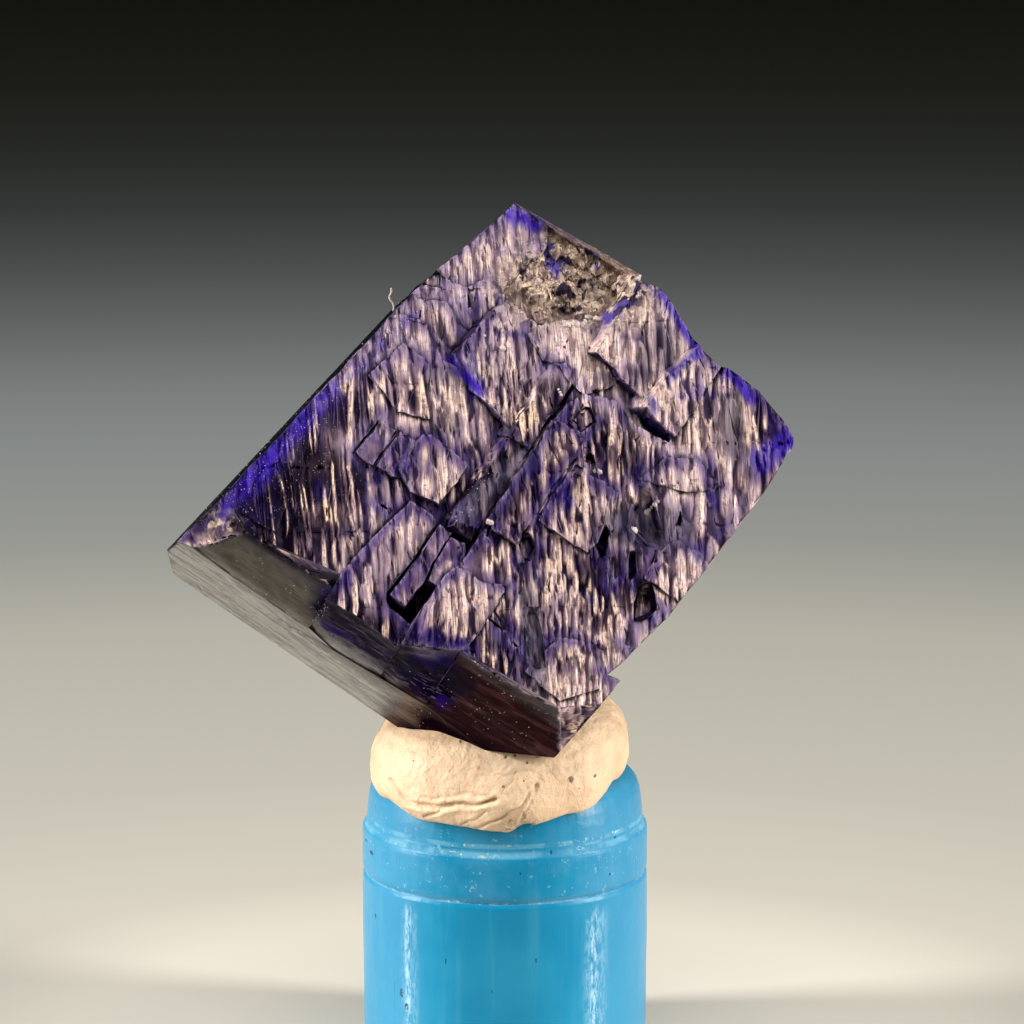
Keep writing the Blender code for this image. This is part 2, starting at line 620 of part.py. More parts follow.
def turned(name, profile, grow=0.0):
    """A turned solid: the profile, grown outwards, spun about +Z and closed at both ends."""
    bm = bmesh.new()
    rings = []
    for i, (radius, height) in enumerate(profile):
        lift = grow if i == len(profile) - 1 else 0.0
        rings.append([])
        for k in range(POST_SIDES):
            angle = 2 * math.pi * k / POST_SIDES
            wide = radius + grow
            rings[-1].append(bm.verts.new((wide * math.cos(angle), wide * math.sin(angle),
                                           height + lift)))
    for lower, upper in zip(rings, rings[1:]):
        for k in range(POST_SIDES):
            after = (k + 1) % POST_SIDES
            bm.faces.new((lower[k], lower[after], upper[after], upper[k]))
    bm.faces.new(rings[0])
    bm.faces.new(rings[-1])
    return mesh_object(name, bm)


def station(azimuth):
    """Reach, lowest and highest edge of the putty at an azimuth, eased between the stations."""
    count = len(PUTTY_STATIONS)
    place = (azimuth - PUTTY_STATIONS[0][0]) / 360 * count
    first = PUTTY_STATIONS[int(place) % count]
    second = PUTTY_STATIONS[(int(place) + 1) % count]
    share = place - int(place)
    share = share * share * (3 - 2 * share)
    return [a + (b - a) * share for a, b in zip(first[1:], second[1:])]


def putty():
    """The putty lump: a rounded cushion, hollowed for the post under it and the crystal on it."""
    bm = bmesh.new()
    rings = [[] for _ in PUTTY_SECTION]
    for k in range(PUTTY_SIDES):
        azimuth = -180 + 360 * k / PUTTY_SIDES
        reach, low, high = station(azimuth)
        turn = math.radians(azimuth)
        for ring, (out, share) in zip(rings, PUTTY_SECTION):
            ring.append(bm.verts.new((out * reach * math.cos(turn), out * reach * math.sin(turn),
                                      low + (high - low) * share)))
    for lower, upper in zip(rings, rings[1:]):
        for k in range(PUTTY_SIDES):
            after = (k + 1) % PUTTY_SIDES
            bm.faces.new((lower[k], lower[after], upper[after], upper[k]))
    for ring, height in zip((rings[0], rings[-1]), PUTTY_MIDDLE):
        centre = bm.verts.new((0, 0, height))
        for k in range(PUTTY_SIDES):
            bm.faces.new((ring[k], ring[(k + 1) % PUTTY_SIDES], centre))
    lump_of_putty = mesh_object("putty_lump", bm)
    combine(lump_of_putty, turned("post_space", POST_PROFILE, GAP), "DIFFERENCE")
    space = crystal_hull("crystal_space", GAP)
    space.data.transform(crystal_place())
    combine(lump_of_putty, space, "DIFFERENCE")
    return lump_of_putty


def crystal_place():
    """Turns and moves the crystal from its own frame to where it stands on the putty."""
    across = Vector(CRYSTAL_X).normalized()
    out = Vector(CRYSTAL_Z)
    out = (out - across * out.dot(across)).normalized()
    turn = Matrix((across, out.cross(across), out)).transposed().to_4x4()
    return Matrix.Translation(CRYSTAL_AT) @ turn


# Materials

def finish(name, colour, roughness):
    """A plain non-metal finish."""
    made = bpy.data.materials.new(name)
    made.use_nodes = True
    shader = made.node_tree.nodes["Principled BSDF"]
    shader.inputs["Base Color"].default_value = (*colour, 1)
    shader.inputs["Roughness"].default_value = roughness
    shader.inputs["Metallic"].default_value = 0.0
    return made


def dress(piece, material, smooth):
    """Gives a piece its one material and its shading, and takes it from millimetres to metres."""
    settle(piece, FLAT)
    piece.data.materials.clear()
    piece.data.materials.append(material)
    piece.data.transform(Matrix.Scale(MM, 4))
    if smooth:
        piece.data.shade_smooth()
        piece.data.set_sharp_from_angle(angle=math.radians(30))


def clear_scene():
    for old in list(bpy.data.objects):
        bpy.data.objects.remove(old)


clear_scene()

post = turned("blue_post", POST_PROFILE)
dress(post, finish("blue_wax", (0.07, 0.36, 0.58), 0.4), True)

cushion = putty()
dress(cushion, finish("cream_putty", (0.72, 0.57, 0.41), 0.75), True)

azurite = crystal()
dress(azurite, finish("azurite", (0.06, 0.02, 0.30), 0.25), False)
seat = crystal_place()
azurite.location = seat.to_translation() * MM
azurite.rotation_euler = seat.to_euler()
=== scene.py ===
"""An azurite crystal held by a lump of putty on a short blue wax post."""
import math
from functools import partial

import bmesh
import bpy
import numpy as np
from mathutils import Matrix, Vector, bvhtree, geometry, kdtree, noise


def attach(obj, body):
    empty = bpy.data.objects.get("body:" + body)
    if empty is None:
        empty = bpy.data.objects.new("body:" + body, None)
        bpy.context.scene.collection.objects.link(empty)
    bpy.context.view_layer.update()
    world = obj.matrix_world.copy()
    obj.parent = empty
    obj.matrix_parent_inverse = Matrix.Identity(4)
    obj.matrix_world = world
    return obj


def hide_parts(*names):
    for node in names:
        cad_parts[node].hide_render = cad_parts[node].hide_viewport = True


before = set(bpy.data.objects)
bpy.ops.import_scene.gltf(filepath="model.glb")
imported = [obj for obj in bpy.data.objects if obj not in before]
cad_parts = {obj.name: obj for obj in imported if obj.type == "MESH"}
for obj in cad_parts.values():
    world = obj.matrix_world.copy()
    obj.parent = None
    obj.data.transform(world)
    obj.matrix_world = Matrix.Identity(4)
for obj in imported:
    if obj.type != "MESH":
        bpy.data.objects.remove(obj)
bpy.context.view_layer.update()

# ---------------------------------------------------------------------------
# The blue post: a short round stand of soft blue wax, cast in a tube and drawn
# out of it. Its shoulder steps in near the top, two mould rings run round it,
# and handling has left dark specks and dust caught in the rings; pale upright streaks are painted
# highlights.
# ---------------------------------------------------------------------------
WAX_BLUE = (0.0, 0.215, 0.400, 1)
WAX_PALE = (0.008, 0.250, 0.435, 1)
WAX_DEEP = (0.006, 0.200, 0.370, 1)
WAX_HAZE_AND_SHEEN = (0.080, 0.300, 0.500, 1)
WAX_STREAK = (0.10, 0.40, 0.58, 1)
WAX_HIGHLIGHT = (0.52, 0.74, 0.90, 1)
RING_PALE = (0.30, 0.62, 0.72, 1)
RING_DUST = (0.66, 0.60, 0.36, 1)
RING_DUST_COOL = (0.55, 0.74, 0.78, 1)
CRUST_PALE = (0.36, 0.62, 0.62, 1)
WAX_SPECK = (0.012, 0.014, 0.02, 1)
# dark specks and slivers pressed into the wax: across, height, half width, half height in mm
WAX_SPECKS = (
    (-3.72, 6.21, 0.07, 0.07), (-3.88, 6.43, 0.05, 0.05), (-3.61, 4.45, 0.03, 0.09),
    (1.27, 6.82, 0.035, 0.08), (0.86, 3.82, 0.03, 0.09), (-2.86, 2.55, 0.06, 0.16),
    (-2.72, 2.20, 0.07, 0.12), (-1.62, 3.72, 0.025, 0.10), (3.05, 6.90, 0.04, 0.04),
    (-0.35, 2.95, 0.02, 0.08), (0.42, 6.30, 0.03, 0.05), (2.90, 5.95, 0.03, 0.05))
# painted highlights: narrow upright streaks, pale where the side lamps would mirror in the wax: across, half
# width, top, strength
WAX_HIGHLIGHT_STREAKS = (
    (-2.67, 0.08, 5.30, 0.62), (2.46, 0.11, 5.25, 0.66), (-2.62, 0.20, 5.2, 0.22), (2.50, 0.28, 5.2, 0.28))
POST_SIDES = 256
# mould rings, and where they chipped: height and half width in mm
MOULD_RINGS = ((5.43, 0.050), (6.80, 0.11), (7.02, 0.09))
CHIPPED_RINGS = ((5.43, 0.05), (6.78, 0.06))
# the mould's profile: height and radius in mm
POST_PROFILE = [
    (0.0, 3.80), (0.05, 3.93), (0.15, 4.0), (3.0, 4.02), (5.30, 4.02), (5.38, 3.985), (5.43, 3.955),
    (5.48, 3.985), (5.56, 4.02), (6.58, 4.02), (6.68, 4.005), (6.76, 3.955), (6.84, 3.905), (6.95, 3.885),
    (7.4, 3.85), (7.75, 3.80), (7.98, 3.72), (8.12, 3.6), (8.22, 3.45), (8.27, 3.3), (8.3, 3.1)]


def wax_radius(height, turn):
    """Radius of the cast wax, in mm: the mould's profile, drag waves and small dents."""
    radius = np.interp(height, [h for h, _ in POST_PROFILE], [r for _, r in POST_PROFILE])
    ring = sum(np.exp(-((height - at) / half) ** 2) for at, half in CHIPPED_RINGS)
    around = Vector((math.cos(turn) * 4, math.sin(turn) * 4, height * 0.5))
    drag = 0.010 * noise.noise(around * 1.3) + 0.005 * noise.noise(around * 4.1)
    chips = 0.030 * ring * noise.noise(Vector((around.x * 3.5, around.y * 3.5, height * 2)))
    return radius + drag - abs(chips)


def join_rings(bm, rings):
    """Faces between each ring of points and the next one up."""
    sides = len(rings[0])
    for lower, upper in zip(rings, rings[1:]):
        for k in range(sides):
            after = (k + 1) % sides
            bm.faces.new((lower[k], lower[after], upper[after], upper[k]))


def post_mesh():
    even = [0.15 * k for k in range(1, 55)]
    near_rings = [5.3 + 0.02 * k for k in range(14)] + [6.6 + 0.025 * k for k in range(16)]
    heights = sorted({round(h, 4) for h in [h for h, _ in POST_PROFILE] + even + near_rings})
    bm = bmesh.new()
    rings = []
    for height in heights:
        ring = []
        for k in range(POST_SIDES):
            turn = 2 * math.pi * k / POST_SIDES
            radius = wax_radius(height, turn)
            across, depth = radius * math.cos(turn), radius * math.sin(turn)
            ring.append(bm.verts.new((across / 1000, depth / 1000, height / 1000)))
        rings.append(ring)
    join_rings(bm, rings)
    bm.faces.new(rings[-1])
    bm.faces.new(list(reversed(rings[0])))
    return shape_of("wax_post", bm)


def shape_of(name, bm, smooth=True):
    """A named object from a bmesh, smooth or faceted."""
    mesh = bpy.data.meshes.new(name)
    bm.to_mesh(mesh)
    bm.free()
    mesh.shade_smooth() if smooth else mesh.shade_flat()
    piece = bpy.data.objects.new(name, mesh)
    bpy.context.scene.collection.objects.link(piece)
    return piece


def new_finish(name):
    """An empty material: its node tree and its surface shader."""
    material = bpy.data.materials.new(name)
    material.use_nodes = True
    return material, material.node_tree, material.node_tree.nodes["Principled BSDF"]


def put(tree, kind, sockets=None, **settings):
    """One node; sockets maps an input's name or number to a value or to another node's output."""
    node = tree.nodes.new("ShaderNode" + kind)
    for name, value in settings.items():
        setattr(node, name, value)
    for socket, value in (sockets or {}).items():
        if isinstance(value, bpy.types.NodeSocket):
            tree.links.new(value, node.inputs[socket])
        else:
            node.inputs[socket].default_value = value
    return node


def calc(tree, operation, first, second=0.0, clamp=False):
    return put(tree, "Math", {0: first, 1: second}, operation=operation, use_clamp=clamp).outputs[0]


def arithmetic(tree):
    """The sum, difference, product and larger of two values, as nodes in a tree."""
    return [partial(calc, tree, kind) for kind in ("ADD", "SUBTRACT", "MULTIPLY", "MAXIMUM")]


def vector(tree, operation, first, second=(0, 0, 0)):
    return put(tree, "VectorMath", {0: first, 1: second}, operation=operation).outputs[0]


def away_from(tree, place, middle):
    """Distance in millimetres from a place to a middle."""
    return put(tree, "VectorMath", {0: place, 1: middle}, operation="DISTANCE").outputs["Value"]


def between(tree, value, low, high):
    """0 below low, 1 above high, eased between them."""
    sockets = {"Value": value, "From Min": low, "From Max": high}
    return put(tree, "MapRange", sockets, interpolation_type="SMOOTHSTEP").outputs[0]


def tint(tree, share, first, second):
    """The first colour, moved towards the second by a share."""
    return put(tree, "Mix", {0: share, 6: first, 7: second}, data_type="RGBA").outputs[2]


def cloud(tree, where, scale, detail=4.0, rough=0.55):
    """Soft noise from 0 to 1 at a place, in turns per millimetre."""
    sockets = {"Vector": where, "Scale": scale, "Detail": detail, "Roughness": rough}
    return put(tree, "TexNoise", sockets).outputs["Fac"]


def patches(tree, where, scale, low, high, detail=2, rough=0.55):
    """Soft patches of noise: 0 where it is below low, 1 above high; with low over high, the reverse."""
    return between(tree, cloud(tree, where, scale, detail, rough), low, high)


def millimetres(tree, stretch=(1, 1, 1)):
    """The piece's own place in millimetres, squeezed or stretched along each axis."""
    place = put(tree, "TexCoord").outputs["Object"]
    return put(tree, "Mapping", {"Vector": place, "Scale": [1000 * s for s in stretch]}).outputs[0]


def wax_finish():
    material, tree, shader = new_finish("blue_wax")
    plus, minus, times, larger = arithmetic(tree)
    place = millimetres(tree)
    streaky = millimetres(tree, (3.0, 3.0, 0.22))
    scratchy = millimetres(tree, (14, 14, 0.9))
    across, depth, height = put(tree, "SeparateXYZ", {0: place}).outputs
    front = calc(tree, "LESS_THAN", depth, -0.5)

    # the wax itself: uneven blue, deeper at the shoulder, with a painted sheen that pales it towards its
    # outline
    colour = tint(tree, patches(tree, place, 0.45, 0.35, 0.68), WAX_BLUE, WAX_PALE)
    colour = tint(tree, between(tree, height, 6.2, 8.2), colour, WAX_DEEP)
    outline_sheen = put(tree, "LayerWeight", {"Blend": 0.5}).outputs["Facing"]
    outline_sheen = between(tree, plus(outline_sheen, times(cloud(tree, streaky, 0.7), 0.10)), 0.20, 0.42)
    colour = tint(tree, times(outline_sheen, 0.45), colour, WAX_HAZE_AND_SHEEN)
    collar = times(between(tree, height, 5.3, 5.6), between(tree, height, 7.9, 7.1))
    hazy = times(collar, patches(tree, place, 1.2, 0.35, 0.65, 3))
    colour = tint(tree, times(hazy, 0.30), colour, WAX_HAZE_AND_SHEEN)
    colour = tint(tree, times(patches(tree, streaky, 0.8, 0.52, 0.72, 3), 0.15), colour, WAX_STREAK)

    # painted highlights: pale upright streaks, ragged at their edges
    ragged = patches(tree, millimetres(tree, (9, 9, 2.4)), 1.0, 0.40, 0.60, 4, 0.75)
    wobble = times(minus(cloud(tree, millimetres(tree, (0.1, 0.1, 1.0)), 1.5, 2), 0.5), 0.16)
    highlit = 0.0
    for at, half, top, strength in WAX_HIGHLIGHT_STREAKS:
        away = calc(tree, "ABSOLUTE", minus(plus(across, wobble), at))
        line = times(between(tree, away, half * 1.6, half * 0.4), between(tree, height, top, top - 0.5))
        highlit = larger(highlit, times(line, strength))
    highlit = times(times(highlit, ragged), front)
    colour = tint(tree, highlit, colour, WAX_HIGHLIGHT)

    # dust and crust in the mould rings and on the collar between them
    rings = 0
    for at, half in MOULD_RINGS:
        band = calc(tree, "ABSOLUTE", minus(height, at))
        rings = larger(rings, between(tree, band, half, half * 0.35))
    faint = times(times(rings, patches(tree, place, 1.4, 0.40, 0.60)), 0.25)
    colour = tint(tree, faint, colour, RING_PALE)
    flecks = times(patches(tree, place, 8.0, 0.57, 0.64, 3, 0.7), patches(tree, place, 0.9, 0.42, 0.62))
    dust = times(rings, flecks)
    dust_colour = tint(tree, patches(tree, place, 3.1, 0.45, 0.55, 1), RING_DUST, RING_DUST_COOL)
    colour = tint(tree, times(dust, 0.8), colour, dust_colour)
    crust = times(patches(tree, place, 5.0, 0.62, 0.68, 3, 0.7), times(collar, 0.35))
    colour = tint(tree, crust, colour, CRUST_PALE)

    # dark specks and slivers
    flat = put(tree, "CombineXYZ", {0: across, 1: height}).outputs[0]
    specks = 0.0
    for x, z, wide, tall in WAX_SPECKS:
        away = vector(tree, "SUBTRACT", flat, (x, z, 0))
        away = vector(tree, "MULTIPLY", away, (1 / wide, 1 / tall, 1))
        specks = larger(specks, between(tree, away_from(tree, away, (0, 0, 0)), 1.0, 0.6))
    specks = times(times(specks, front), patches(tree, place, 12.0, 0.36, 0.46))
    colour = tint(tree, times(specks, 0.85), colour, WAX_SPECK)
    tree.links.new(colour, shader.inputs["Base Color"])

    rough = plus(times(cloud(tree, streaky, 1.6, 2), 0.25), 0.20)
    rough = plus(rough, plus(times(rings, 0.25), times(highlit, 0.2)))
    tree.links.new(rough, shader.inputs["Roughness"])
    relief = plus(times(cloud(tree, scratchy, 1.0, 1), 0.20), cloud(tree, place, 2.2, 4))
    relief = plus(relief, plus(times(dust, 0.8), times(crust, 0.8)))
    bump = put(tree, "Bump", {"Height": relief, "Strength": 0.35, "Distance": 0.00004})
    tree.links.new(bump.outputs[0], shader.inputs["Normal"])
    shader.inputs["Subsurface Weight"].default_value = 0.15
    shader.inputs["Subsurface Radius"].default_value = (0.2, 0.7, 1.0)
    shader.inputs["Subsurface Scale"].default_value = 0.0008
    shader.inputs["IOR"].default_value = 1.44
    shader.inputs["Specular IOR Level"].default_value = 0.32
    return material


post = post_mesh()
post.data.materials.append(wax_finish())
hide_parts("blue_post")
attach(post, "root")

# ---------------------------------------------------------------------------
# The putty: a pea-sized roll of cream putty squashed between post and crystal.
# It bulges out over the post's shoulder, folded where its ends were pressed
# together and torn underneath, with specks of grit picked up in handling.
# ---------------------------------------------------------------------------
PUTTY_CREAM = (0.830, 0.600, 0.390, 1)
PUTTY_TAN = (0.680, 0.455, 0.280, 1)
PUTTY_DARK = (0.330, 0.210, 0.125, 1)
PUTTY_PIT = (0.16, 0.09, 0.05, 1)
PUTTY_BLOTCH = (0.72, 0.58, 0.42, 1)
PUTTY_GRAIN = (0.50, 0.34, 0.21, 1)
PUTTY_SPECK = (0.075, 0.045, 0.03, 1)
PUTTY_ROUND = 500
PUTTY_RISE = 136
# azimuth in degrees, reach, lowest and highest edge in mm
PUTTY_STATIONS = (
    (-180, 3.76, 8.00, 9.75), (-150, 4.06, 7.75, 9.85), (-120, 4.32, 7.50, 10.05), (-90, 4.40, 7.38, 10.0),
    (-60, 4.20, 7.75, 10.05), (-30, 3.78, 8.25, 10.25), (0, 3.44, 8.45, 10.38), (30, 3.45, 8.40, 10.35),
    (60, 3.60, 8.15, 10.20), (90, 3.80, 7.95, 10.10), (120, 3.85, 7.85, 10.00), (150, 3.75, 7.90, 9.95))
# the roll's outline from foot to top: share of the reach, share of the height
PUTTY_SECTION = (
    (0.0, 0.25), (0.5, 0.10), (0.86, 0.02), (0.95, 0.06), (0.985, 0.18), (1.0, 0.36), (0.99, 0.55),
    (0.95, 0.74), (0.87, 0.90), (0.76, 0.985), (0.62, 1.0), (0.3, 0.98), (0.0, 0.96))
# folds pressed into the front: (half width, depth, line of (across, height))
PUTTY_FOLDS = (
    (0.050, 0.13,
     ((-3.05, 8.62), (-2.9, 8.42), (-2.6, 8.14), (-1.9, 8.12), (-1.2, 8.24), (-0.7, 8.36), (-0.2, 8.46))),
    (0.04, 0.07, ((-2.1, 7.82), (-1.75, 8.06), (-1.45, 8.16))),
    (0.035, 0.06, ((0.84, 8.86), (0.55, 8.5), (0.34, 8.26), (-0.3, 7.85), (-0.78, 7.58))),
    (0.03, 0.035, ((0.84, 8.86), (0.70, 8.40), (0.48, 8.02), (0.40, 7.70))),
    (0.20, 0.05, ((1.35, 9.75), (1.9, 9.5), (2.45, 9.28))),
    (0.03, 0.04, ((-0.7, 9.3), (0.0, 9.12), (0.8, 9.2))),
    (0.03, 0.03, ((-3.40, 8.85), (-3.22, 8.45), (-2.75, 8.05))),
    (0.03, 0.03, ((-2.3, 8.34), (-1.6, 8.42), (-0.9, 8.62), (-0.35, 8.60))),
    (0.03, 0.03, ((-0.05, 8.62), (0.12, 8.85), (0.20, 9.15))),
    (0.03, 0.12, ((0.05, 7.62), (0.28, 7.55), (0.55, 7.58), (0.72, 7.72))),
    (0.025, 0.035, ((-1.15, 7.66), (-0.8, 7.86), (-0.5, 8.16))))
# specks of grit on the front: across, height, half width in mm
PUTTY_SPECKS = (
    (1.79, 8.90, 0.10), (0.02, 9.56, 0.045), (0.27, 9.59, 0.045), (0.61, 9.42, 0.035), (2.47, 8.88, 0.055),
    (-0.04, 8.84, 0.055), (-1.20, 9.86, 0.04), (-3.09, 7.83, 0.06), (-1.79, 10.15, 0.05),
    (2.04, 8.62, 0.03), (0.52, 8.98, 0.03), (-2.5, 9.3, 0.025), (1.1, 9.9, 0.03), (0.35, 7.52, 0.07),
    (0.12, 7.60, 0.05))
# where the foot of the roll is torn: across, height, half width in mm; and the middle of its rough tint
PUTTY_NOTCH = (0.55, 7.45, 0.22)
TORN_MIDDLE = (0.30, 7.85, 0)


def putty_place(turn, rise):
    """A point on the squashed roll, before folds: turn in degrees, rise from 0 at the foot to 1 on top."""
    count = len(PUTTY_STATIONS)
    place = (turn + 180) / (360 / count) % count
    first, second = PUTTY_STATIONS[int(place)], PUTTY_STATIONS[(int(place) + 1) % count]
    share = place - int(place)
    share = share * share * (3 - 2 * share)
    reach, low, high = (a + (b - a) * share for a, b in zip(first[1:], second[1:]))
    steps = np.linspace(0, 1, len(PUTTY_SECTION))
    out = np.interp(rise, steps, [o for o, _ in PUTTY_SECTION])
    up = np.interp(rise, steps, [u for _, u in PUTTY_SECTION])
    angle = math.radians(turn)
    return np.array((out * reach * math.cos(angle), out * reach * math.sin(angle), low + (high - low) * up))


def from_line(points, line):
    """Distance of 2-D points from a broken line."""
    nearest = np.full(len(points), 1e9)
    for a, b in zip(line, line[1:]):
        a, b = np.array(a, float), np.array(b, float)
        along = np.clip(((points - a) @ (b - a)) / ((b - a) @ (b - a)), 0, 1)
        nearest = np.minimum(nearest, np.linalg.norm(points - a - along[:, None] * (b - a), axis=1))
    return nearest


def putty_mesh():
    rises = np.linspace(0, 1, PUTTY_RISE)
    rises = np.convolve(np.pad(rises, 2, mode="edge"), np.ones(5) / 5, "valid")
    grid = np.array([[putty_place(360 * k / PUTTY_ROUND - 180, rise) for rise in rises]
                     for k in range(PUTTY_ROUND)])
    for _ in range(6):
        inner = (grid[:, :-2] + grid[:, 2:]) / 2
        grid[:, 1:-1] = grid[:, 1:-1] * 0.4 + inner * 0.6
    points = grid.reshape(-1, 3)
    flat = points[:, :2] / np.linalg.norm(points[:, :2] + 1e-9, axis=1)[:, None]
    middle = np.interp(points[:, 2], (7.4, 10.2), (0, 1))
    outward = np.column_stack((flat, (middle - 0.5) * 1.3))
    outward /= np.linalg.norm(outward, axis=1)[:, None]
    move = np.array([0.085 * noise.noise(Vector(p) * 0.55) + 0.040 * noise.noise(Vector(p) * 1.5)
                     + 0.014 * noise.noise(Vector(p) * 5.0) for p in points])
    front = points[:, 1] < 0
    across = points[:, (0, 2)]
    wobble = np.array([[noise.noise(Vector(p) * 2.1), noise.noise(Vector(p) * 2.1 + Vector((7, 3, 1)))]
                       for p in points])
    for half, depth, line in PUTTY_FOLDS:
        away = from_line(across + 0.10 * wobble, line) / half
        pressed = np.exp(-away ** 2) - 0.25 * np.exp(-((away - 2.6) / 1.5) ** 2)
        move -= np.where(front, depth * pressed, 0)
    x, z, half = PUTTY_NOTCH
    torn = np.exp(-(np.hypot(across[:, 0] - x, across[:, 1] - z) / half) ** 2)
    move -= np.where(front, 0.35 * torn, 0)
    points = (points + outward * move[:, None]) / 1000
    bm = bmesh.new()
    verts = [bm.verts.new(p) for p in points]
    for k in range(PUTTY_ROUND):
        after = (k + 1) % PUTTY_ROUND
        for j in range(PUTTY_RISE - 1):
            corners = (k, j), (after, j), (after, j + 1), (k, j + 1)
            bm.faces.new([verts[a * PUTTY_RISE + b] for a, b in corners])
    bmesh.ops.remove_doubles(bm, verts=bm.verts, dist=1e-6)
    bmesh.ops.recalc_face_normals(bm, faces=bm.faces)
    return shape_of("putty_roll", bm)


def putty_finish():
    material, tree, shader = new_finish("cream_putty")
    plus, minus, times, larger = arithmetic(tree)
    place = millimetres(tree)
    across, depth, height = put(tree, "SeparateXYZ", {0: place}).outputs
    front = calc(tree, "LESS_THAN", depth, -0.5)
    colour = tint(tree, patches(tree, place, 0.7, 0.35, 0.72, 3), PUTTY_CREAM, PUTTY_TAN)
    blotch = patches(tree, place, 2.6, 0.52, 0.75, 3)
    colour = tint(tree, times(blotch, 0.35), colour, PUTTY_BLOTCH)
    grain = cloud(tree, place, 9.0, 3, 0.75)
    colour = tint(tree, times(between(tree, grain, 0.46, 0.36), 0.22), colour, PUTTY_GRAIN)

    # the torn foot, and darker towards the lower edge by the post
    flat = put(tree, "CombineXYZ", {0: across, 1: height}).outputs[0]
    torn = plus(away_from(tree, flat, TORN_MIDDLE), times(cloud(tree, place, 2.0, 4), 0.9))
    torn = times(between(tree, torn, 1.15, 0.70), front)
    colour = tint(tree, times(torn, 0.45), colour, PUTTY_DARK)
    pitted = times(torn, patches(tree, place, 5.0, 0.44, 0.36, 3, 0.7))
    colour = tint(tree, times(pitted, 0.7), colour, PUTTY_PIT)
    lower_edge_dark = between(tree, plus(height, times(cloud(tree, place, 1.3, 2), 0.5)), 8.25, 7.75)
    colour = tint(tree, times(lower_edge_dark, 0.4), colour, PUTTY_DARK)

    specks = 0.0
    for x, z, half in PUTTY_SPECKS:
        away = plus(away_from(tree, flat, (x, z, 0)), times(minus(grain, 0.5), half * 1.6))
        specks = larger(specks, between(tree, away, half, half * 0.6))
    specks = times(specks, front)
    colour = tint(tree, times(specks, 0.85), colour, PUTTY_SPECK)
    tree.links.new(colour, shader.inputs["Base Color"])

    tree.links.new(plus(times(blotch, 0.2), 0.48), shader.inputs["Roughness"])
    pits = between(tree, grain, 0.40, 0.30)
    relief = minus(cloud(tree, place, 3.5, 5, 0.66), times(pits, 0.10))
    bump = put(tree, "Bump", {"Height": relief, "Strength": 0.60, "Distance": 0.00014})
    tree.links.new(bump.outputs[0], shader.inputs["Normal"])
    return material


putty = putty_mesh()
putty.data.materials.append(putty_finish())
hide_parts("putty_lump")
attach(putty, "root")

# ---------------------------------------------------------------------------
# The azurite crystal: one natural block whose broad front is built of stepped
# plates covered in long overlapping laths that all run one way. Its edges and
# underside grew flat and glassy, and one top corner broke off, leaving rubble.
# ---------------------------------------------------------------------------
# the front's left corner in mm, and the crystal's own axes: x and y along the front's edges, z out of it
CRYSTAL_AT = np.array((-8.024, -4.283, 15.631))
CRYSTAL_X = Vector((0.839, -0.099, -0.536)).normalized()
CRYSTAL_Z = Vector((0.150, -0.903, 0.402))
CRYSTAL_Z = (CRYSTAL_Z - CRYSTAL_X * CRYSTAL_Z.dot(CRYSTAL_X)).normalized()
CRYSTAL_AXES = np.array((CRYSTAL_X, CRYSTAL_Z.cross(CRYSTAL_X), CRYSTAL_Z))
# straight up, and towards the eye, along those axes
UPWARD = np.array((-0.536, 0.742, 0.402))
TO_EYE = np.array((0, -0.275, 0.961))
LEAN = 0.287              # how far a raised point reads up the face when seen from a little below square
LINES_RUN = math.radians(-55)
# mesh spacing in mm, across and along the growth lines: the front, the sides that show, and the back
LATH_STEP = (0.034, 0.12)
SIDE_STEP = (0.075, 0.11)
BACK_STEP = (0.16, 0.24)
ROW_SPACING = 0.87        # of a step, so that staggered rows make even triangles
SHAKE = 0.18              # of a step
STEEP = 0.7               # a facet that faces less forward than this is a side or a wall
BIG_SIDE = 2.2            # square mm over which a steep facet is one of the outer sides
BACK_DEPTH = -1.9         # mm behind the front, where only outer sides reach
CRYSTAL_SEED = 11
LATH_SEEDS = (3, 14, 27)
MAP_STEP = 0.02
MAP_LOW, MAP_HIGH = np.array((-1.2, -3.0)), np.array((13.2, 14.2))
